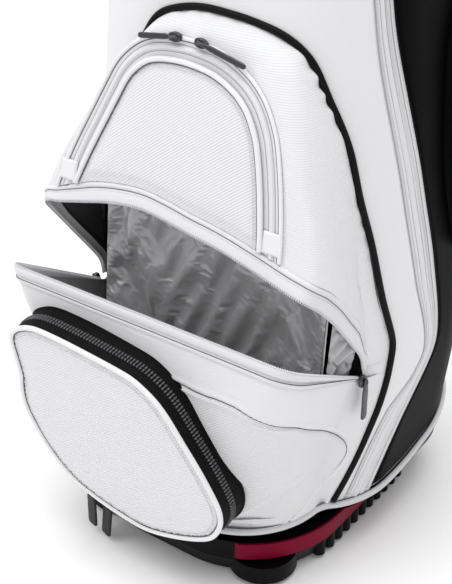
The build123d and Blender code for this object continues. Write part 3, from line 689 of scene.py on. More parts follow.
# ------------------------------------------------------------------ raised side pockets
POCKET_LOW, POCKET_HIGH = 298, 542
POCKET_EDGE = curve_of([POCKET_LOW, 400, 470, POCKET_HIGH], [62, 40, 44, 67])
for side, word in ((1, "right"), (-1, "left")):
    tall = POCKET_HIGH - POCKET_LOW
    z = (POCKET_LOW + tall * spread(float(tall), 90))[:, None] * np.ones((1, 60 + 10))
    q = spread(85.0, 60)[None, :]
    sa, sb = trunk_s(POCKET_EDGE(z), z), trunk_s(126.0 + 0 * z, z)
    s = sa + (sb - sa) * q
    edge = np.minimum(np.minimum(s - sa, sb - s), np.minimum(z - POCKET_LOW, POCKET_HIGH - z))
    lift = 12.5 * (1 - bell(edge, 5.0)) ** 0.8 + 1.5 * np.clip(edge / 40, 0, 1)
    p, nrm = trunk_at(side * s, z, lift)
    grid(f"side_pocket_{word}_skin", p, leather_black, flip=side < 0, node=f"side_pocket_{word}",
         slot="black_leather")
    low, high = POCKET_LOW + 5, POCKET_HIGH - 5
    zz = np.linspace(low, high, 90)
    ss = trunk_s(POCKET_EDGE(zz), zz)
    corner = np.clip(np.minimum(zz - low, high - zz) / 14, 0, 1)
    line, _up = trunk_at(side * (ss + 4 + 8 * (1 - np.sqrt(corner * (2 - corner)))), zz, 10.5)
    across = np.linspace(0.12, 1, 40)
    ends = []
    for h in (POCKET_LOW + 2.0, POCKET_HIGH - 2.0):
        h = h + 0 * across
        s = trunk_s(POCKET_EDGE(h), h) * (1 - across) + trunk_s(124.0 + 0 * across, h) * across
        ends.append(trunk_at(side * s, h, 8.0)[0])
    path = np.vstack([ends[0][::-1], line, ends[1]])
    tube(f"side_pocket_{word}_piping", resample(path, step=2.5), 2.5, piping_white, sides=10)
    line, up = trunk_at(side * (ss + 13), zz, 13.2)
    stitches(f"side_pocket_{word}_stitch", line[6:-6], up[6:-6], thread_black)
    y = np.linspace(-17, 111, 50)[None, :] * np.ones((70, 1))
    zl = np.linspace(132, 798, 70)[:, None] * np.ones((1, 50))
    wall = np.stack([side * (121.8 + 0.6 * wobble(np.stack([y, zl, 0 * y], -1), 60, 3)), y, zl], -1)
    cloth = grid(f"pocket_lining_{word}_cloth", wall, lining_black, node=f"pocket_lining_{word}",
                 slot="lining")

# ------------------------------------------------------------------ lower front pocket
QF = 0.88
ARCH_LOW = curve_of([50, 60, 85, 117, 147, 177, 212, 240], [126, 129, 137, 146, 153, 159, 163, 164])


def tub_at(q, z):
    """Lower pocket's skin: q runs from the left piping, -1, round the front to the right piping, 1."""
    q, z = np.broadcast_arrays(np.asarray(q, float), np.asarray(z, float))
    h = TUB(z)
    half, front, r = h[..., 0], h[..., 1], h[..., 2]
    side, a = np.where(q < 0, -1.0, 1.0), np.abs(q)
    ax = ARCH_LOW(z)
    ay = trunk_y(ax, z)
    ty = np.maximum(front + r, ay - 45)
    st = half - r + r * math.pi / 2 + ty - front - r
    x, y, _a, _b = ring(half, front, 60.0, r, np.minimum(a / QF, 1) * st)
    t = np.clip((a - QF) / (1 - QF), 0, 1)
    bx = bezier(half, half, ax - 3, ax, t)
    by = bezier(ty, ty + 15, ay - 12, ay, t)
    flare = a > QF
    return np.stack([side * np.where(flare, bx, x), np.where(flare, by, y), z], -1)


def lip_height(q, angle):
    """Height at which a plane through the mouth's axis cuts the lower pocket."""
    z = np.full(np.shape(q), 240.0)
    for _ in range(40):
        y = tub_at(q, z)[..., 1]
        z = 0.5 * z + 0.5 * (MOUTH[2] + np.maximum(MOUTH[1] - y, -1) * math.tan(math.radians(angle)))
    return z


q = np.linspace(-1, 1, 420)
top = lip_height(q, 25.0)
f = np.r_[0, 0.006, 0.014, np.linspace(0.025, 0.985, 128), 0.992, 1.0][:, None]
Z = 60 + (top[None, :] - 60) * f
tub_p = tub_at(q[None, :] + 0 * Z, Z)
tub_n = normals(tub_p)
uv = np.stack([grid_uv(tub_p)[..., 0], Z], -1)

band_half = [(0, 233), (62, 230), (100, 231), (124, 224)]
band_side = [(139, -157, 214), (144, -147, 206), (147, -112, 182), (144, -85, 160), (141, -68, 143),
             (137, -62, 127), (133, -74, 110), (128, -93, 95), (120, -105, 80), (113, -113, 66)]
front = [(x, TUB(np.array(float(z)))[1], z) for x, z in band_half]
right = front + band_side
whole = [(-x, y, z) for x, y, z in right[:0:-1]] + right
band_line = smooth_line(whole, 700)
band_line, band_up = snap(band_line, tub_p, tub_n)

dist = near(tub_p, band_line)
disp = 0.9 * wobble(tub_p, 55, 2)
disp -= 1.7 * bell(dist, 1.7)
disp += 0.9 * bell(dist - 4.0, 2.6)
# the sag between the ball pocket and the side seam, with its crease
CREASE_Z = curve_of([0.25, 0.30, 0.47, 0.62, 0.735, 0.80], [72.0, 78.0, 96.0, 118.0, 138.0, 150.0])
drop = CREASE_Z(np.abs(q))[None, :] - Z
reach_q = np.sin(np.clip((np.abs(q) - 0.27) / 0.50, 0, 1) * math.pi)[None, :] ** 0.8
reach_q = reach_q * np.where(q > 0, 1.0, 0.35)[None, :]
below = np.clip(drop, 0, None)
disp -= 6.0 * reach_q * below / 13.0 * np.exp(1 - below / 13.0)
disp += 2.4 * reach_q * bell(drop, 7.0)
edge_side = (1 - np.abs(q))[None, :] * 300
disp -= 1.5 * bell(edge_side, 2.5)
disp -= 1.4 * np.exp(-((top[None, :] - Z) / 1.6) ** 2)
tub_d = tub_p + tub_n * disp[..., None]
skin = grid("lower_pocket_skin", tub_d, band_white, node="lower_pocket", slot="white_twill", uv=uv)
skin.data.materials.append(twill_white)
flat_uv = uv.reshape(-1, 2)
line_index = [int(np.linalg.norm(tub_p.reshape(-1, 3) - p, axis=1).argmin()) for p in band_line[::3]]
panel = np.vstack([flat_uv[line_index], [[flat_uv[line_index[-1]][0], 50.0],
                                         [flat_uv[line_index[0]][0], 50.0]]])
cells = quads(tub_p.shape[0], tub_p.shape[1])
mid_uv = flat_uv[cells].mean(1)
skin.data.polygons.foreach_set("material_index", inside(mid_uv, panel).astype(np.int32))
tub_nd = normals(tub_d)
# a thin grey cord in the band's seam groove: painted seam shadow
line, up = snap(band_line[::2], tub_d, tub_nd, 0.1)
tube("band_seam_shadow", line, 0.42, groove_shadow_paint, sides=6)
band_in, band_in_up = snap(band_line[::2] + np.array([0, 0, -4.0]) * np.clip(
    np.abs(band_up[::2, 1:2]) * 2 - 0.6, 0.0, 1), tub_d, tub_nd, 0.15)
stitches("band_stitch", band_in[20:-20], band_in_up[20:-20], thread_white)

# lower lip: piped seam, flat zipper tape, rolled edge, then down inside
reach = q[(tub_at(q, 214.0)[..., 1] < -64)]
lip_q = np.linspace(reach[0], reach[-1], 380)
LOW_LIP = smooth_line([(24.5, -1.6), (25.0, -0.2), (25.5, 1.5), (26.2, 2.2), (26.9, 1.7), (27.3, 0.4),
                       (27.6, -0.3), (27.9, 0.4), (28.3, 1.4), (29.3, 1.9), (30.3, 1.8), (30.8, 1.0),
                       (31.05, -0.4), (30.8, -1.8), (29.8, -2.8), (28.0, -3.2), (25.5, -3.4)], 44)
rows = []
for angle, out in LOW_LIP:
    zz = lip_height(lip_q, angle)
    p = tub_at(lip_q, zz)
    ahead, behind = tub_at(lip_q + 0.002, zz), tub_at(lip_q - 0.002, zz)
    t = ahead - behind
    n = unit(np.stack([-t[:, 1], t[:, 0], 0 * zz], 1) * -1)
    rows.append(p + n * (out + 0.25 * wobble(p, 30, 4)[:, None]))
rows = np.array(rows)
grid("lower_lip_tape", rows, tape_white, body="lower_lip", node="lower_lip", slot="white_twill")
nr = normals(rows)
stitches("lower_lip_stitch", rows[19], nr[19], thread_white, body="lower_lip")
# a thin grey cord in the lip's seam groove: painted seam shadow
tube("lower_lip_seam_shadow", rows[11] + nr[11] * 0.1, 0.4, groove_shadow_paint, sides=6, body="lower_lip")
stitches("lower_lip_teeth", rows[27] + nr[27] * 0.5, nr[27], coil_white, pitch=2.1,
         shape=lozenge(1.3, 2.6, 1.6), body="lower_lip")

# ------------------------------------------------------------------ upper front pocket
LEAN = math.radians(13.7)
FACE_Y, FACE_Z = -106.0, 512.0  # where the sloping face meets v = 0


def face_y(z):
    return FACE_Y - (FACE_Z - z) * math.tan(LEAN)


def on_face(x, v, w=0.0):
    """A point on the upper pocket's front: x across, v up the slope, w outwards."""
    x, v, w = np.broadcast_arrays(np.asarray(x, float), np.asarray(v, float), np.asarray(w, float))
    return np.stack([x, FACE_Y + v * math.sin(LEAN) - w * math.cos(LEAN),
                     FACE_Z + v * math.cos(LEAN) + w * math.sin(LEAN)], -1)


FACE_N = V(0, -math.cos(LEAN), math.sin(LEAN))
lip_left = [(-152, -59, 219), (-151, -64, 237), (-150.5, -79, 258), (-150.5, -98, 282),
            (-150.5, -115, 304), (-149, -130, 322), (-144, -141, 334)]
lip_front = [(-135, 342), (-122, 344), (-97, 350), (-63, 358), (-30, 361.5), (-2, 358.8), (22, 354.8),
             (44, 352), (61, 349.2), (79, 345.4), (97, 341.4), (112, 337.6), (124, 334.6)]
lip_right = [(133, -149.6, 332.6), (141, -149.2, 330.4), (147, -145.5, 326.5), (150, -137, 319.5),
             (150.5, -125, 308), (150.5, -112, 295), (150.5, -97.4, 278.3), (150.5, -78.7, 256.2),
             (151, -64, 237), (152, -59, 219)]


def softened(rows, width):
    """Unit vectors along a line, averaged over their neighbours."""
    return unit(averaged(rows, width))


lip_edge = smooth_line(lip_left + [(x, face_y(z), z) for x, z in lip_front] + lip_right, 420)
side_share = np.clip((lip_edge[:, 1:2] + 146) / 18, 0, 1)
lip_n = FACE_N * (1 - side_share) + np.sign(lip_edge[:, :1]) * side_share * V(1, 0, 0)
lip_n = softened(lip_n, 25)
lip_up = np.cross(unit(np.gradient(lip_edge, axis=0)), lip_n)
lip_up = softened(lip_up * np.sign(lip_up[:, 2:]), 71)
lip_fade = np.clip((np.arange(420) - 40) / 110, 0.3, 1) * np.clip((419 - np.arange(420)) / 30, 0.5, 1)
BAND = 18.0
band_top = lip_edge + lip_up * (BAND * lip_fade)[:, None]

ARCH_RIGHT = [(163.6, 225), (164, 239), (161, 262), (157, 286), (148, 343), (139, 386), (131, 426),
              (123, 451), (113, 475), (102, 501), (89, 516), (73, 525), (50, 530), (27, 531.5)]
ARCH_LEFT = [(163.6, 225), (164, 239), (160, 262), (154, 290), (141, 335), (126, 375), (109, 412),
             (90, 445), (70, 475), (54, 501), (46, 514), (35, 522), (14, 529)]
arch_xz = ARCH_RIGHT + [(6, 532)] + [(-x, z) for x, z in ARCH_LEFT[::-1]]
arch = smooth_line([(x, 0, z) for x, z in arch_xz], 500)
arch[:, 1] = trunk_y(arch[:, 0], arch[:, 2])

outer = [(-132, -190), (-122.5, -154.1), (-113.9, -128.8), (-104.8, -106), (-92.6, -78.4), (-82.6, -56),
         (-74.9, -39.5), (-65.8, -26.5), (-53.5, -15.5), (-41.3, -8.8), (-24.0, -4.6), (-0.3, -3.0),
         (25.4, -5.4), (43.0, -10.2), (55.4, -15.8), (68.2, -23.8), (81.0, -36.0), (91.8, -52.5),
         (99.6, -71.0), (108.5, -106), (115.8, -149.1), (118, -190)]
outer = smooth_line([(x, 0, v) for x, v in outer], 600)[:, [0, 2]]
outer = outer[::-1]


def foot_at(x):
    """How far down the face the lip's tape ends the small pocket at x."""
    z = np.interp(x, band_top[60:360, 0], band_top[60:360, 2])
    return -((FACE_Z - z) / math.cos(LEAN))


def u_line(inset_by, n):
    """The small pocket's outline from its right foot over the top to its left foot."""
    line = inset(np.array(outer), inset_by) if inset_by else np.array(outer)
    keep = line[line[:, 1] > foot_at(line[:, 0])]
    order = np.argsort(np.mod(np.arctan2(keep[:, 0], -(keep[:, 1] + 90)), 2 * math.pi))
    return resample(keep[order], n)


u_out = u_line(0.0, 500)
a0, a1 = arch, on_face(u_out[:, 0], u_out[:, 1], 1.0)
zc = a0[:, 2] * 0.35 + a1[:, 2] * 0.65
arch_reach = {k: curve_of([z for _x, z in half], [x for x, _z in half])
              for k, half in ((1, ARCH_RIGHT), (-1, ARCH_LEFT))}
corner_x = lambda z: np.where(a0[:, 0] > 0, arch_reach[1](z), arch_reach[-1](z))
side = np.sign(a0[:, 0])
shoulder = np.clip((505 - zc) / 60, 0, 1)
cx = a0[:, 0] + side * (corner_x(zc) - corner_x(a0[:, 2])) * shoulder + side * 3 * shoulder
corner = np.stack([cx, face_y(zc) - 1.0, zc], 1)
w = np.r_[0, 0.012, 0.03, np.linspace(0.05, 0.97, 84), 0.985, 1.0][:, None, None]
p1, p2 = a0 + (corner - a0) * 0.86, a1 + (corner - a1) * 0.86
S = bezier(a0, p1, p2, a1, w)
for flip_side in (1, -1):
    b = band_top if flip_side > 0 else band_top * V(-1, 1, 1)
    b = b[(b[:, 0] > 0)]
    b = b[::-1] if b[0][2] > b[-1][2] else b
    edge_end = a1[0] if flip_side > 0 else a1[-1] * V(-1, 1, 1)
    b = b[(b[:, 0] > edge_end[0]) | (b[:, 2] < 330)]
    rail = np.vstack([a0[0], b, edge_end])
    rail = resample(rail, len(w) * 6)
    d = run_along(rail)
    mine = S[:, 0] if flip_side > 0 else S[:, -1] * V(-1, 1, 1)
    dm = run_along(mine)
    want = np.stack([np.interp(dm / dm[-1] * d[-1], d, rail[:, k]) for k in range(3)], 1)
    delta = (want - mine) * (V(1, 1, 1) if flip_side > 0 else V(-1, 1, 1))
    fade = np.clip(1 - (np.arange(500) if flip_side > 0 else np.arange(500)[::-1]) / 130, 0, 1)
    S = S + delta[:, None] * (fade ** 2 * (3 - 2 * fade))[None, :, None]
Sn = normals(S)
if Sn[44, 250] @ FACE_N < 0:
    Sn = -Sn
arc = np.linalg.norm(np.diff(S, axis=0), axis=2)
run = np.concatenate([np.zeros((1, 500)), np.cumsum(arc, 0)], 0)
from_face = run[-1][None] - run
puckers = np.sin(np.linspace(0, 1, 500) * 190 + 3 * np.sin(np.linspace(0, 1, 500) * 37))[None]
turn = np.linspace(0, 1, 500)
crown = bell(turn - 0.36, 0.06) + bell(turn - 0.64, 0.06)
disp = 0.8 * wobble(S, 60, 6) * np.clip(run / 20, 0, 1) * np.clip(from_face / 12, 0, 1)
disp = disp + (0.5 + 1.3 * crown[None]) * puckers * bell(run, 9.0)
disp = disp - 1.5 * bell(run, 2.0) - 1.1 * bell(from_face, 1.8)
S2 = S + Sn * disp[..., None]
S2[..., 1] = np.minimum(S2[..., 1], trunk_y(S2[..., 0], S2[..., 2]) - 5.0 * np.clip(run / 14, 0, 1))
flip_s = bool(np.cross(S[0, 251] - S[0, 250], S[3, 250] - S[0, 250]) @ Sn[0, 250] < 0)
uv_s = np.stack([run, np.broadcast_to(S[..., 2], run.shape)], -1)
gusset = grid("upper_pocket_gusset", S2, rib_white, node="upper_pocket", slot="white_twill", uv=uv_s,
              flip=flip_s, ride=False)
# a thin grey cord along the gusset's outer seam: painted seam shadow
tube("arch_outer_shadow_cord", S[1] + Sn[1] * 0.2, 0.5, groove_shadow_paint, sides=6)

# its face inside the zipper, one padded panel of twill
FACE_IN = 18.0
u_in = u_line(FACE_IN, 420)
foot_x = np.linspace(u_in[-1][0], u_in[0][0], 120)[1:-1]
outline = resample(np.vstack([u_in, np.stack([foot_x, foot_at(foot_x)], 1)]), step=2.4, closed=True)
verts, tris, d = filled(outline, 3.0)
puff = 2.6 + 3.4 * (1 - np.exp(-(d / 13.0))) - 1.3 * bell(d - 5.0, 1.9) - 1.2 * bell(d, 1.5)
puff += 0.5 * wobble(np.c_[verts, 0 * verts[:, 0]], 45, 7) * np.clip(d / 20, 0, 1)
face = make("u_pocket_face_panel", on_face(verts[:, 0], verts[:, 1], puff), tris, twill_white, uv=verts,
            node="u_pocket_face", slot="white_twill", ride=False)
face_out(face, FACE_N)

# zipper tape round it, with the covered coil, and the piping on both of its edges
tape_rows = []
for k, h in smooth_line([(-0.4, 0.0), (0.6, 1.4), (2.0, 1.6), (3.4, 1.0), (4.6, 1.1), (5.4, 2.4),
                         (6.6, 2.9), (7.8, 2.4), (8.6, 1.1), (10.5, 1.0), (12.0, 0.8), (13.4, 0.4)], 34):
    line = u_line(max(k, 0.0) * FACE_IN / 13, 420)
    tape_rows.append(on_face(line[:, 0], line[:, 1], h))
tape_rows = np.array(tape_rows)
tape = grid("u_zip_tape_strip", tape_rows, tape_white, node="u_zip_tape", slot="white_zipper", ride=False)
if Vector(np.cross(tape_rows[0, 201] - tape_rows[0, 200],
                   tape_rows[9, 200] - tape_rows[0, 200])) @ Vector(FACE_N) < 0:
    tape.data.flip_normals()
UP420 = np.broadcast_to(FACE_N, (420, 3))
soft = [gusset, face, tape]
# The seam rows are thin grey cords in the seam grooves: painted seam shadow, darker or paler.
for tag, k, h, r, mat in (("inner_piping", FACE_IN + 1.0, 3.6, 2.5, piping_white),
                          ("outer_piping", 0.2, 1.9, 1.8, piping_white),
                          ("inner_shadow_cord", FACE_IN + 4.0, 3.5, 0.45, groove_shadow_paint),
                          ("outer_shadow_cord", 2.6, 1.6, 0.4, groove_shadow_paint),
                          ("tape_shadow_cord_a", 5.9, 1.0, 0.35, groove_soft_shadow_paint),
                          ("tape_shadow_cord_b", 12.6, 1.0, 0.35, groove_soft_shadow_paint)):
    line = u_line(k, 420)
    soft.append(tube(f"u_{tag}", on_face(line[:, 0], line[:, 1], h), r, mat, sides=10 if r > 1 else 6,
                     ride=False))
line = u_line(FACE_IN + 7.0, 420)
soft.append(stitches("u_face_stitch", on_face(line[:, 0], line[:, 1], 4.9), UP420, thread_white,
                     ride=False))
for side, word in ((1, "right"), (-1, "left")):
    foot = (u_in[0] if side > 0 else u_in[-1])
    cx, cv = foot[0] + side * 8.6, foot[1] + 10.5
    a = np.linspace(-1, 1, 17)
    gx, gv = np.meshgrid(a, a)
    rim = np.clip(np.minimum(1 - np.abs(gx), 1 - np.abs(gv)) * 7, 0, 1)
    patch = on_face(cx + gx * 9.0 + gv * -0.5 * side, cv + gv * 9.5, 2.0 + 1.7 * rim ** 0.6)
    piece = grid(f"u_foot_patch_{word}", patch, leather_white, ride=False)
    face_out(piece, FACE_N, 40)
    soft.append(piece)

# upper lip: flat zipper tape with teeth on its edge, and piping along its top
LIP_PROFILE = smooth_line([(18.4, -0.8), (17.8, 0.9), (16.4, 2.2), (14.8, 2.4), (13.4, 1.6), (12.7, 0.3),
                           (12.2, 0.1), (11.7, 0.8), (9.5, 1.4), (5.5, 1.7), (1.6, 1.4), (0.3, 0.5),
                           (0.1, -0.8), (1.0, -1.8), (4.0, -2.6), (12.0, -3.0), (24.0, -4.5)], 46)
rows = np.array([lip_edge + lip_up * (k * (lip_fade if k > 0 else 1))[:, None] + lip_n * h
                 for k, h in LIP_PROFILE])
grid("upper_lip_tape", rows, tape_white, body="upper_lip", node="upper_lip", slot="white_twill",
     flip=bool(normals(rows)[20, 210] @ FACE_N < 0))
# a thin grey cord in the lip's seam groove: painted seam shadow
line = lip_edge + lip_up * (12.4 * lip_fade)[:, None] + lip_n * 0.3
tube("upper_lip_seam_shadow", line, 0.42, groove_shadow_paint, sides=6, body="upper_lip")
line = lip_edge + lip_up * (10.2 * lip_fade)[:, None] + lip_n * 1.3
stitches("upper_lip_stitch", line, lip_n, thread_white, body="upper_lip")
line = lip_edge - lip_up * 0.5 + lip_n * 0.1
stitches("upper_lip_teeth", line, lip_n, coil_white, pitch=2.1, shape=lozenge(1.25, 2.4, 1.5),
         body="upper_lip")

# the lid's inner face, in the same grey as the liner
inner = S - Sn * np.clip(1.0 + 12.0 * (Sn @ FACE_N + 0.1), 1.0, 5.0)[..., None]
inner -= FACE_N * np.clip((inner - on_face(0, 0)) @ FACE_N, 0, None)[..., None]
soft.append(grid("upper_pocket_lining", inner, lining_grey, flip=not flip_s, ride=False))
verts2, tris2, _d = filled(outline, 9.0)
soft.append(make("u_pocket_lining", on_face(verts2[:, 0], verts2[:, 1], -4.0), tris2, lining_grey,
                 ride=False))
for piece in soft:
    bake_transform(piece)

# ------------------------------------------------------------------ inside the pocket
zb = np.linspace(64, 498, 120)[:, None] * np.ones((1, 120))
sb_right, sb_left = [front_run(np.where(zb < 225, ARCH_LOW(zb), arch_reach[k](zb)) - 14, zb)
                     for k in (1, -1)]
sb = -sb_left + (sb_right + sb_left) * np.linspace(0, 1, 120)[None, :]
wall, _n = trunk_at(sb, zb, 0.8)
wall = wall + _n * (0.4 * wobble(wall, 30, 9))[..., None]
grid("pocket_back_lining", wall, lining_black)
qi = np.linspace(-0.97, 0.97, 170)
ti = lip_height(qi, 27.0)
fi = np.linspace(0, 1, 60)[:, None]
zi = 74 + (ti[None, :] - 74) * fi
pi_ = tub_at(qi[None, :] + 0 * zi, zi)
ni = normals(pi_)
folds = 3.0 * wobble(pi_, 24, 12) + 1.4 * wobble(pi_, 9, 13)
deep = np.clip((ti[None, :] - zi) / 25, 0, 1)
pi_ = pi_ - ni * (6.0 + 8.0 * deep + folds * deep * 0.7)[..., None]
grid("cooler_side_liner", pi_, satin, flip=True)
floor_q = np.linspace(-0.95, 0.95, 100)
rim = tub_at(floor_q, 76.0 + 0 * floor_q)
back_rim = np.stack([rim[:, 0], trunk_y(rim[:, 0], 76.0 + 0 * rim[:, 0]) - 3, rim[:, 2]], 1)
t = np.linspace(0.03, 0.97, 30)[:, None, None]
base = rim * (1 - t) + back_rim * t
base[..., 2] += 2.5 * wobble(base, 26, 14)
grid("cooler_floor_liner", base, satin)


def crumple(name, corners, cols, rows, mat, shrink, centre, seed, node=None, frames_n=26):
    """A sheet of thin satin between four corners, let loose by a cloth simulation pinned at its edges."""
    u = np.linspace(0, 1, cols)[None, :, None]
    v = np.linspace(0, 1, rows)[:, None, None]
    a, b, c, d = [V(*k) for k in corners]
    flat = (a * (1 - u) + b * u) * (1 - v) + (d * (1 - u) + c * u) * v
    n = np.cross(b - a, d - a)
    n /= np.linalg.norm(n)
    bow = (np.sin(u[..., 0] * math.pi) * np.sin(v[..., 0] * math.pi))
    start = flat + n * ((4.0 * wobble(flat, 34, seed) + 1.8 * wobble(flat, 15, seed + 1)) * bow)[..., None]
    piece = grid(name, start, mat, ride=False)
    group = piece.vertex_groups.new(name="edge")
    ids = np.arange(rows * cols).reshape(rows, cols)
    rim = np.unique(np.r_[ids[0], ids[-1], ids[:, 0], ids[:, -1]])
    group.add([int(i) for i in rim], 1.0, "REPLACE")
    star = int(((flat - V(*centre)) ** 2).sum(2).argmin())
    group.add([star, star + 1, star + cols], 1.0, "REPLACE")
    cloth = piece.modifiers.new("cloth", "CLOTH")
    st = cloth.settings
    st.quality = 6
    st.mass = 0.12
    st.tension_stiffness = st.compression_stiffness = 12
    st.shear_stiffness = 6
    st.bending_stiffness = 0.06
    st.air_damping = 3
    st.vertex_group_mass = "edge"
    st.effector_weights.gravity = 0
    st.shrink_min = -shrink
    cloth.collision_settings.use_self_collision = False
    cloth.point_cache.frame_start, cloth.point_cache.frame_end = 1, frames_n
    for k in range(1, frames_n + 1):
        bpy.context.scene.frame_set(k)
    mesh = bpy.data.meshes.new_from_object(piece.evaluated_get(bpy.context.evaluated_depsgraph_get()))
    co = np.zeros(len(mesh.vertices) * 3)
    mesh.vertices.foreach_get("co", co)
    bpy.data.meshes.remove(mesh)
    piece.modifiers.remove(cloth)
    move = co.reshape(rows, cols, 3) / MM - flat
    swell = move
    for axis in (0, 1):
        swell = np.pad(swell, [(12, 12) if k == axis else (0, 0) for k in range(3)], "edge")
        swell = np.apply_along_axis(lambda r: np.convolve(r, np.ones(25) / 25, "valid"), axis, swell)
    move = move - 0.8 * swell * bow[..., None] ** 0.3
    far = np.maximum(np.linalg.norm(move, axis=2, keepdims=True), 1e-6)
    move *= 10.0 * np.tanh(far / 10.0) / far
    piece.data.vertices.foreach_set("co", ((flat + move) * MM).ravel())
    piece.data.update()
    bpy.context.scene.frame_set(1)
    piece.vertex_groups.clear()
    sub = piece.modifiers.new("smooth", "SUBSURF")
    sub.levels = sub.render_levels = 1
    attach(piece, "root")
    if node:
        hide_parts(node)
    dg = bpy.context.evaluated_depsgraph_get()
    made = piece.evaluated_get(dg).to_mesh()


crumple("cooler_satin_curtain", [(-103, -115, 190), (138, -115, 190), (146, -112, 352), (-92, -112, 352)],
        118, 128, satin, 0.13, (30, -110, 262), 21, node="cooler_liner")
crumple("cooler_satin_side", [(138, -66, 200), (140, -108, 196), (147, -108, 290), (148, -66, 246)],
        44, 50, satin, 0.16, (142, -100, 200), 31)
edge = np.array([(-103, -112.5, 190), (-100, -112, 225), (-97, -111, 270), (-92, -109, 352)])
tube("curtain_hem_left", smooth_line(edge, 80), 1.3, satin, sides=8)
edge = np.array([(138, -112.5, 190), (140, -112, 225), (143, -111, 290), (146, -109, 352)])
tube("curtain_hem_right", smooth_line(edge, 80), 1.3, satin, sides=8)

# ------------------------------------------------------------------ black piping and hem
low_z = np.linspace(62, 222, 90)
low_x = ARCH_LOW(low_z)
low_right = np.stack([low_x, trunk_y(low_x, low_z), low_z], 1)
loop = np.vstack([low_right, arch, (low_right * V(-1, 1, 1))[::-1]])
loop = resample(loop, step=2.5)
loop = averaged(loop, 9)
away = unit(np.stack([np.sign(loop[:, 0]) * np.clip(np.abs(loop[:, 0]) / 120, 0, 1),
                      -np.ones(len(loop)) * 0.6, np.clip((loop[:, 2] - 480) / 60, 0, 1)], 1))
tube("arch_piping_cord", loop + away * 1.6, 3.1, piping_black, node="arch_piping", slot="black_piping",
     sides=14)

qh = np.linspace(0, 1, 160)
fr = tub_at(qh, 60.5 + 0 * qh)
s0 = trunk_s(np.array(fr[-1][1]), np.array(62.0))
zh = np.full(260, 61.0)
end_s = trunk_s(np.array(BACK), np.array(100.0)) + TRUNK(np.array(100.0))[0] - TRUNK(np.array(100.0))[2]
for _ in range(12):
    ph, nh = trunk_at(np.linspace(float(s0), float(end_s), 260), zh)
    zh = 0.5 * zh + 0.5 * HEM(ph[:, 1])
half_hem = np.vstack([fr, ph[3:] + nh[3:] * 0.5])
hem = np.vstack([half_hem, (half_hem * V(-1, 1, 1))[::-1][1:-1]])
hem = resample(hem, step=3.0, closed=True)
centre = hem.mean(0)
hem = averaged(hem, 9, closed=True)
t = np.roll(hem, -1, 0) - np.roll(hem, 1, 0)
n = unit(np.stack([t[:, 1], -t[:, 0], 0 * t[:, 0]], 1))
n *= np.sign((n * (hem - centre)).sum(1, keepdims=True))
tube("hem_piping_cord", hem + n * 1.6, 3.3, hem_grey, closed=True, node="hem_piping", slot="light_piping",
     sides=14)
# a thin grey cord above the hem piping: painted seam shadow
tube("hem_seam_shadow", hem + n * 0.9 + V(0, 0, 3.4), 0.5, groove_shadow_paint, closed=True, sides=6)
stitches("hem_stitch", hem + n * 0.6 + V(0, 0, 7.5), n, thread_white)

# ------------------------------------------------------------------ ball pocket
B_LEAN = math.radians(6.7)
BALL_N = V(0, -math.cos(B_LEAN), -math.sin(B_LEAN))
BALL_UP = V(0, -math.sin(B_LEAN), math.cos(B_LEAN))
BALL_PLACE = V(0, -217, 250)
BALL = smooth_line([(x, v, 0) for x, v in (
    (-130.5, -27), (-129, -16), (-123, -8), (-114, -2), (-103, 2.5), (-90, 4.4), (-72, 4), (-52, 2.6),
    (-29, 0.2), (-6, -2.5), (14, -6), (28, -12.5), (41, -22), (52, -35), (65, -56), (81, -82), (94, -107),
    (99.5, -122), (100, -136), (96, -149), (89, -160.5), (80, -168.5), (66, -176.5), (45, -185.5),
    (22, -193), (3, -196), (-18, -194), (-38, -190.3), (-57, -185), (-76, -177.5), (-93, -164.5),
    (-108, -146.5), (-119, -127.5), (-127.5, -107), (-130.3, -92), (-129.5, -76), (-127.2, -62),
    (-128.6, -45))], 380, closed=True)[:, :2]


def on_ball(xy, w):
    xy = np.asarray(xy, float)
    return (BALL_PLACE + xy[..., :1] * V(1, 0, 0) + xy[..., 1:2] * BALL_UP
            + np.asarray(w, float)[..., None] * BALL_N)


outline = resample(inset(BALL, 2.8), step=2.0, closed=True)
verts, tris, d = filled(outline, 3.2)
puff = -0.6 + 3.8 * (1 - np.exp(-d / 20.0)) - 1.5 * bell(d - 2.4, 1.5) + 0.8 * bell(d - 6, 3.0)
puff += 0.7 * wobble(np.c_[verts, 0 * verts[:, 0]], 40, 17) * np.clip(d / 25, 0, 1)
ball_face = make("ball_door_face", on_ball(verts, puff), tris, twill_white, body="ball_door", uv=verts,
                 node="ball_door", slot="white_twill")
face_out(ball_face, BALL_N)
tube("ball_piping", on_ball(inset(BALL, 2.0), np.full(len(BALL), -0.3)), 2.5, piping_white, closed=True,
     sides=14, body="ball_door")
# a thin grey cord round the face inside the piping: painted seam shadow
seam_xy = resample(inset(BALL, 4.9), step=2.0, closed=True)
tube("ball_face_seam_shadow", on_ball(seam_xy, np.full(len(seam_xy), -0.1)), 0.5, groove_shadow_paint, closed=True, sides=6,
     body="ball_door")
sx = resample(inset(BALL, 9.0), step=2.0, closed=True)
stitches("ball_face_stitch", on_ball(sx, np.full(len(sx), 1.9)), np.broadcast_to(BALL_N, (len(sx), 3)),
         thread_white, body="ball_door")
n_ring = len(BALL)
rows = [on_ball(inset(BALL, i), np.full(n_ring, wv)) for i, wv in
        smooth_line([(2.6, -1.6), (1.0, -3.6), (0.6, -8.0), (0.6, -12.0), (0.9, -15.0), (1.6, -16.2),
                     (5.0, -16.4)], 24)]
rows = np.array([np.vstack([r, r[:1]]) for r in rows])
grid("ball_zip_tape_front", rows, tape_black, body="ball_door")
SPLIT_W, SHALLOW_W, DEEP_W = -16.7, -19.0, -33.0  # where the zipper parts, and the gusset's back edge
end_w = np.full(n_ring, -34.0)
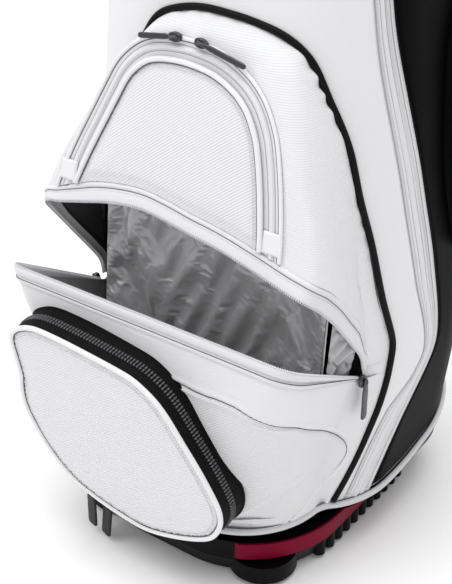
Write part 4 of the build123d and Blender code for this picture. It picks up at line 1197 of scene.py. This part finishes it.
for _ in range(30):
    p = on_ball(inset(BALL, 0.0), end_w)
    h = TUB(p[:, 2])
    past = np.clip(np.abs(p[:, 0]) - (h[:, 0] - h[:, 2]), 0, h[:, 2] * 0.995)
    surface = h[:, 1] + h[:, 2] - np.sqrt(h[:, 2] ** 2 - past ** 2)
    end_w = end_w - 0.6 * (surface - p[:, 1])
    end_w = np.clip(end_w, DEEP_W, SHALLOW_W)
rows = []
for f, flare in smooth_line([(-0.04, 5.0), (0.0, 1.8), (0.02, 1.0), (0.12, 0.6), (0.4, 0.4), (0.75, 0.2),
                             (0.95, -0.4), (1.03, -1.2)], 30):
    wv = SPLIT_W + (end_w - SPLIT_W) * f
    rows.append(on_ball(inset(BALL, flare), wv))
rows = np.array([np.vstack([r, r[:1]]) for r in rows])
grid("ball_zip_tape_rear", rows, tape_black, node="ball_gusset", slot="black_zipper")
out_xy = inset(BALL, -1.0) - BALL
for tag, wv, body in (("front", -14.6, "ball_door"), ("rear", -18.4, "root")):
    ring_line = on_ball(inset(BALL, 0.4), np.full(n_ring, wv))
    ring_line = np.vstack([ring_line, ring_line[:1]])
    outward = out_xy[:, :1] * V(1, 0, 0) + out_xy[:, 1:] * BALL_UP
    outward = unit(np.vstack([outward, outward[:1]]))
    stitches(f"ball_teeth_{tag}", ring_line, outward, teeth_painted_highlight, pitch=3.3, shape=lozenge(2.0, 4.6, 2.6),
             body=body)
tube("ball_tape_edge", np.vstack([rows[-3][:-1], rows[-3][:1]]), 0.9, piping_black, sides=8)

# ------------------------------------------------------------------ shoulder strap at the back
STRAP_R, STRAP_Y, STRAP_Z = 428.0, -188.0, 560.0


def strap_point(turn, x, out):
    a = np.radians(turn)
    r = STRAP_R + out
    return np.stack([x + 0 * a, STRAP_Y + r * np.cos(a) + 0 * x, STRAP_Z + r * np.sin(a) + 0 * x], -1)


def strap_body(name, span, half, low, high, mat, n_t, n_a, crown=0.0, taper=0.0, **kw):
    """A closed band that follows the strap's arc, thicker in the middle of its width."""
    turn = np.linspace(-span, span, n_t)[:, None]
    a = np.linspace(0, 2 * math.pi, n_a, endpoint=False)[None, :]
    end = np.clip((span - np.abs(turn)) / max(taper, 1e-6), 0, 1) if taper else np.ones_like(turn)
    end = np.sqrt(np.clip(end * (2 - end), 0.02, 1))
    cx, cy = powered(np.cos(a), 0.45), powered(np.sin(a), 0.75)
    x = half * (0.35 + 0.65 * end) * cx if taper else half * cx + 0 * turn
    mid, thick = (low + high) / 2, (high - low) / 2
    out = mid + thick * (0.45 + 0.55 * end) * cy + crown * np.clip(np.sin(a), 0, 1) * (1 - cx ** 2) * end
    p = strap_point(turn + 0 * a, x, out)
    along = np.radians(turn) * STRAP_R + 0 * a
    uv = np.stack([along, x], -1)
    return make(name, p, capped(n_t, n_a), mat, uv=uv, **kw)


strap_body("shoulder_webbing", 28.0, 19.0, -0.9, 1.9, webbing, 160, 28, node="strap_webbing",
           slot="webbing")
pad_piece = strap_body("shoulder_pad", 17.0, 30.5, 2.1, 10.6, leather_black, 120, 44, crown=1.6, taper=3.2,
                       node="strap_pad", slot="black_leather")
for sx_ in (-1, 1):
    turn = np.linspace(-14.6, 14.6, 200)
    line = strap_point(turn, np.full(200, sx_ * 25.0), np.full(200, 10.6))
    up = unit(line - V(0, STRAP_Y, STRAP_Z) * V(0, 1, 1) - line * V(1, 0, 0))
    stitches(f"shoulder_pad_stitch_{'a' if sx_ < 0 else 'b'}", line - up * 0.4, up, thread_white)
    turn = np.linspace(-16.6, 16.6, 160)
    line = strap_point(turn, np.full(160, sx_ * 30.0)
                       * (1 - 0.35 * np.clip((np.abs(turn) - 14) / 3, 0, 1) ** 2),
                       np.full(160, 6.2))
    tube(f"shoulder_pad_piping_{'a' if sx_ < 0 else 'b'}", line, 1.5, piping_white, sides=8)


def patch_board(name, centre, right_v, up_v, half_w, half_h, thick, radius, mat, **kw):
    """A sewn patch with rounded corners and a rounded, slightly crowned face."""
    c, rv, uv_ = V(*centre), V(*right_v), V(*up_v)
    nv = np.cross(rv, uv_)
    outline = fillet([(-half_w, -half_h, radius), (half_w, -half_h, radius), (half_w, half_h, radius),
                      (-half_w, half_h, radius)], step=2.0)
    verts, tris, d = filled(outline, 3.5)
    h = thick * (1 - np.exp(-(d / 1.4))) + 0.5 * np.clip(d / 12, 0, 1) - 0.9 * bell(d - 3.6, 1.0)
    p = c + verts[:, :1] * rv + verts[:, 1:] * uv_ + h[:, None] * nv
    piece = make(name, p, tris, mat, uv=verts, **kw)
    face_out(piece, nv)
    run = resample(inset(outline, 3.6), step=2.0, closed=True)
    line = c + run[:, :1] * rv + run[:, 1:] * uv_ + (thick + 0.2) * nv
    stitches(name + "_stitch", line, np.broadcast_to(nv, line.shape), thread_black)
    return piece


for k, z in (("low", 340.0), ("high", 780.0)):
    patch = patch_board(f"strap_anchor_{k}", (0, 170.2, z), (-1, 0, 0), (0, 0, 1), 28, 26, 3.4, 6,
                        leather_black)
    way = -1 if k == "low" else 1
    a = np.linspace(-0.5 * math.pi, 0.5 * math.pi, 24)
    loop = np.stack([0 * a, 174 + 9.5 * np.cos(a) ** 0.8, z + way * 6 - 0.5 + 5.0 * np.sin(a)], 1)
    x = np.linspace(-17, 17, 14)
    web = loop[:, None] + x[None, :, None] * V(1, 0, 0)
    loop_piece = grid(f"strap_anchor_loop_{k}", web, webbing, flip=True)
    thick = loop_piece.modifiers.new("thick", "SOLIDIFY")
    thick.thickness = 1.4 * MM
    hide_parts("strap_anchors")

# back spine: a raised padded strip with piping round it, behind the strap
SPINE_HALF, SPINE_LOW, SPINE_HIGH = 46, 372, 748
zc = np.linspace(SPINE_LOW, SPINE_HIGH, 130)[:, None]
xc = np.linspace(-SPINE_HALF, SPINE_HALF, 60)[None, :]
ex = np.minimum(SPINE_HALF - np.abs(xc), np.minimum(zc - SPINE_LOW, SPINE_HIGH - zc))
rise = 0.4 + 5.0 * (1 - np.exp(-(ex / 9.0) ** 1.3)) - 1.5 * bell(ex - 7.0, 1.6)
cushion = np.stack([xc + 0 * zc, 170.2 + rise, zc + 0 * xc], -1)
spine = grid("back_cushion", cushion, twill_white, flip=False)
face_out(spine, (0, 1, 0), 2000)
ring_xz = fillet([(-SPINE_HALF, SPINE_LOW, 5), (SPINE_HALF, SPINE_LOW, 5), (SPINE_HALF, SPINE_HIGH, 5),
                  (-SPINE_HALF, SPINE_HIGH, 5)], step=2.5)
path = np.stack([ring_xz[:, 0], np.full(len(ring_xz), 170.8), ring_xz[:, 1]], 1)
tube("back_cushion_piping", path, 2.2, piping_white, closed=True, sides=10)

# ------------------------------------------------------------------ dividers
def board(name, x0, x1, y0, y1, z0, z1, node, grow=1.1):
    """A fleece-covered divider: thin board with a rounded, bound top edge."""
    along_x = (x1 - x0) > (y1 - y0)
    length = (x1 - x0) if along_x else (y1 - y0)
    thick = ((y1 - y0) if along_x else (x1 - x0)) / 2
    prof = [(-thick, 0.0), (-thick, 0.5), (-thick, 0.97), (-thick * 0.98 - grow * 0.2, 0.985),
            (-thick * 0.7, 0.996), (0, 1.0), (thick * 0.7, 0.996), (thick * 0.98 + grow * 0.2, 0.985),
            (thick, 0.97), (thick, 0.5), (thick, 0.0)]
    t = np.linspace(0, 1, max(int(length / 6), 8))
    pts = []
    for o, h in smooth_line([(a, b * 100) for a, b in prof], 90):
        z = z0 + (z1 - z0) * np.clip(h / 100, 0, 1) + 0 * t
        sway = 0.25 * wobble(np.stack([t * length, z, 0 * t], 1), 60, 8)
        if along_x:
            pts.append(np.stack([x0 + t * length, (y0 + y1) / 2 + o + sway, z], 1))
        else:
            pts.append(np.stack([(x0 + x1) / 2 + o + sway, y0 + t * length, z], 1))
    grid(name, np.array(pts), fleece, node=node, slot="lining")


DIVIDER_FOOT, DIVIDER_TOP = 25, 853
board("divider_long_board", -1.5, 1.5, -80, 158, DIVIDER_FOOT, DIVIDER_TOP, "divider_long_wall")
for i, y in enumerate((-14.0, 90.0)):
    for j, (xa, xb) in enumerate(((-118, -1.8), (1.8, 118))):
        board(f"divider_cross_board_{i}{j}", xa, xb, y - 1.2, y + 1.2, DIVIDER_FOOT, DIVIDER_TOP,
              "divider_cross_walls")

# ------------------------------------------------------------------ zipper sliders and pullers
def bar(name, start, end, face, width, thick, profile, mat, **kw):
    """A closed bar with rounded-square sections; profile rows are (place, width, thickness) as fractions."""
    start, end, face = V(*start), V(*end), V(*face)
    along = end - start
    face = face - face @ along * along / (along @ along)
    face /= np.linalg.norm(face)
    across = np.cross(along / np.linalg.norm(along), face)
    rows = smooth_line(profile, 40)
    a = np.linspace(0, 2 * math.pi, 20, endpoint=False)[None]
    cx, cy = powered(np.cos(a), 0.45), powered(np.sin(a), 0.6)
    p = (start + along * rows[:, 0][:, None, None] + across
         * (rows[:, 1][:, None] * cx * width / 2)[..., None]
         + face * (rows[:, 2][:, None] * cy * thick / 2)[..., None])
    return make(name, p, capped(len(rows), 20), mat, **kw)


SLIDER = [(0, 0.25, 0.45), (0.04, 0.55, 0.85), (0.14, 0.78, 1), (0.38, 1, 1), (0.6, 0.96, 1),
          (0.82, 0.72, 1), (0.95, 0.5, 0.85), (1, 0.22, 0.45)]
TAB = [(0, 0.3, 0.5), (0.03, 0.55, 0.95), (0.12, 0.62, 1), (0.2, 0.72, 0.9), (0.3, 0.98, 0.85),
       (0.6, 1, 0.85), (0.88, 1, 1), (0.95, 0.94, 1), (0.985, 0.72, 0.85), (1, 0.3, 0.5)]
RUBBER_TAB = [(0, 0.5, 0.5), (0.02, 0.8, 0.9), (0.07, 0.96, 1), (0.15, 1, 1), (0.85, 1, 1),
              (0.94, 0.97, 1), (0.985, 0.82, 0.9), (1, 0.5, 0.5)]


def zip_slider(node, base, along, out, mat, body):
    """A slider's body on its tape, with the arched bridge that holds the puller."""
    base, along, out = V(*base), V(*along), V(*out)
    bar(f"{node}_body", base - along * 6.5 + out * 2.4, base + along * 6.5 + out * 2.4, out, 8.8, 4.4,
        SLIDER, mat, body=body, node=node)
    arch_line = [base + along * k + out * h for k, h in ((-4.6, 3.2), (-4.2, 5.4), (-2.4, 7.2), (0, 7.8),
                                                         (2.4, 7.2), (4.0, 5.6), (4.4, 3.4))]
    tube(f"{node}_bridge", smooth_line(arch_line, 30), 1.0, mat, sides=10, body=body)
    for k in (-1, 1):
        crossing = np.cross(along, out) * k * 3.0
        tube(f"{node}_rail_{'a' if k < 0 else 'b'}", np.array([base - along * 4.6 + out * 4.3 + crossing,
             base + out * 4.7 + crossing, base + along * 4.6 + out * 4.3 + crossing]), 0.7, mat, sides=8,
             body=body)


for word, at, way in (("left", -12.0, (-0.997, -0.019, -0.078)), ("right", 15.0, (0.996, -0.022, -0.091))):
    zip_slider(f"u_zip_{word}_slider", on_face(at, -3.4, 2.6), way, FACE_N, dark_metal,
               f"u_zip_{word}_slider")
for word, low, tip in (("left", (-8.0, -2.6, 8.6), (-47.5, -8.6, 7.6)),
                       ("right", (12.0, -2.2, 8.6), (62.0, -13.0, 8.2))):
    bar(f"u_zip_{word}_pull_bar", on_face(*low), on_face(*tip), FACE_N, 5.0, 2.3, TAB, dark_metal,
        body=f"u_zip_{word}_puller", node=f"u_zip_{word}_puller")
for side, word in ((1, "right"), (-1, "left")):
    zip_slider(f"mouth_{word}_slider", (side * 153.0, -66, 214), (0, 0, 1), (side, 0, 0), dark_metal,
               "root")
    bar(f"mouth_{word}_pull_bar", (side * 159.4, -66, 217), (side * 159.2, -66, 174), (side, 0, 0), 8.4,
        2.6, TAB, dark_metal if side > 0 else puller, body=f"mouth_{word}_puller",
        node=f"mouth_{word}_puller")
for word, top_at, foot_at in (("left", (-74.7, -179.3, 66), (-75.0, -179.6, 12)),
                              ("right", (-52.6, -178.6, 60), (-58.6, -179.2, 7))):
    top_at, foot_at = V(*top_at), V(*foot_at)
    knee = top_at + (foot_at - top_at) * 0.33
    front = V(-0.25, -0.97, 0)
    bar(f"ball_zip_{word}_pull_tab", knee, foot_at, front, 13.6, 3.0, RUBBER_TAB, puller,
        body=f"ball_zip_{word}_puller", node=f"ball_zip_{word}_puller")
    wide = np.cross(front, (foot_at - top_at) / np.linalg.norm(foot_at - top_at))
    loop_line = [knee + wide * 5.2 - V(0, 0, 3), knee + wide * 5.2 + V(0, 0, 6),
                 top_at + wide * 3.6 - V(0, 0, 3), top_at,
                 top_at - wide * 3.6 - V(0, 0, 3), knee - wide * 5.2 + V(0, 0, 6),
                 knee - wide * 5.2 - V(0, 0, 3)]
    tube(f"ball_zip_{word}_pull_wire", smooth_line(loop_line, 60), 0.85, dark_metal, sides=8,
         body=f"ball_zip_{word}_puller")

# ------------------------------------------------------------------ carried-over hard parts
CAD_FINISH = {
    moulded: ["base_tray", "base_ribs", "cuff_ring", "cuff_divider", "umbrella_ring", "umbrella_cup",
              "towel_ring_tab"],
    crimson: ["base_inlay"],
    rubber: ["foot_pads"],
    foam: ["base_foam_pad"],
    grip: ["front_grip", "rear_grip"],
    aluminium: ["trunk_stays"],
    silver: ["towel_ring"],
    dark_metal: ["ball_zip_left_slider", "ball_zip_right_slider", "side_zip_left_slider",
                 "side_zip_right_slider", "side_zip_left_puller", "side_zip_right_puller",
                 "strap_d_rings", "base_screws"],
}
for finish, names in CAD_FINISH.items():
    for name in names:
        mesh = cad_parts[name].data
        if not mesh.materials:
            mesh.materials.append(finish)
        for i in range(len(mesh.materials)):
            mesh.materials[i] = finish

# ------------------------------------------------------------------ floor, light and camera
fm = bpy.data.meshes.new("floor")
fm.from_pydata([(-6, -6, 0), (6, -6, 0), (6, 6, 0), (-6, 6, 0)], [], [(0, 1, 2, 3)])
floor = bpy.data.objects.new("floor", fm)
bpy.context.scene.collection.objects.link(floor)
fm.materials.append(Mat("floor_paper", (254, 254, 254), 0.9).noise(30, 1.0).bump(0.02))

world = bpy.data.worlds.new("studio")
world.use_nodes = True
world.node_tree.nodes["Background"].inputs["Color"].default_value = (1, 1, 1, 1)
world.node_tree.nodes["Background"].inputs["Strength"].default_value = 0.72
bpy.context.scene.world = world
bpy.context.scene.view_settings.view_transform = "Standard"


def softbox(name, place, look, size, power):
    light = bpy.data.lights.new(name, "AREA")
    light.shape, light.size, light.energy = "SQUARE", size, power
    lamp = bpy.data.objects.new(name, light)
    lamp.location = place
    lamp.rotation_euler = (Vector(look) - Vector(place)).to_track_quat("-Z", "Y").to_euler()
    bpy.context.scene.collection.objects.link(lamp)


softbox("key", (-1.0, -1.1, 1.75), (0, 0, 0.4), 0.9, 8.0)
softbox("top", (0.1, -0.2, 2.6), (0, 0, 0.3), 2.2, 44.0)

CAMERA_PLACE, CAMERA_TURN, CAMERA_PITCH, LENS = (0.612, -0.900, 0.861), 36.0, 30.5, 79.21
cam = bpy.data.cameras.new("camera")
cam.sensor_width, cam.lens = 36.0, LENS
camera = bpy.data.objects.new("camera", cam)
camera.location = CAMERA_PLACE
az, pitch = math.radians(CAMERA_TURN), math.radians(CAMERA_PITCH)
forward = Vector((-math.sin(az) * math.cos(pitch), math.cos(az) * math.cos(pitch), -math.sin(pitch)))
camera.rotation_euler = forward.to_track_quat("-Z", "Y").to_euler()
cam.clip_start, cam.clip_end = 0.01, 50
bpy.context.scene.collection.objects.link(camera)
bpy.context.scene.camera = camera
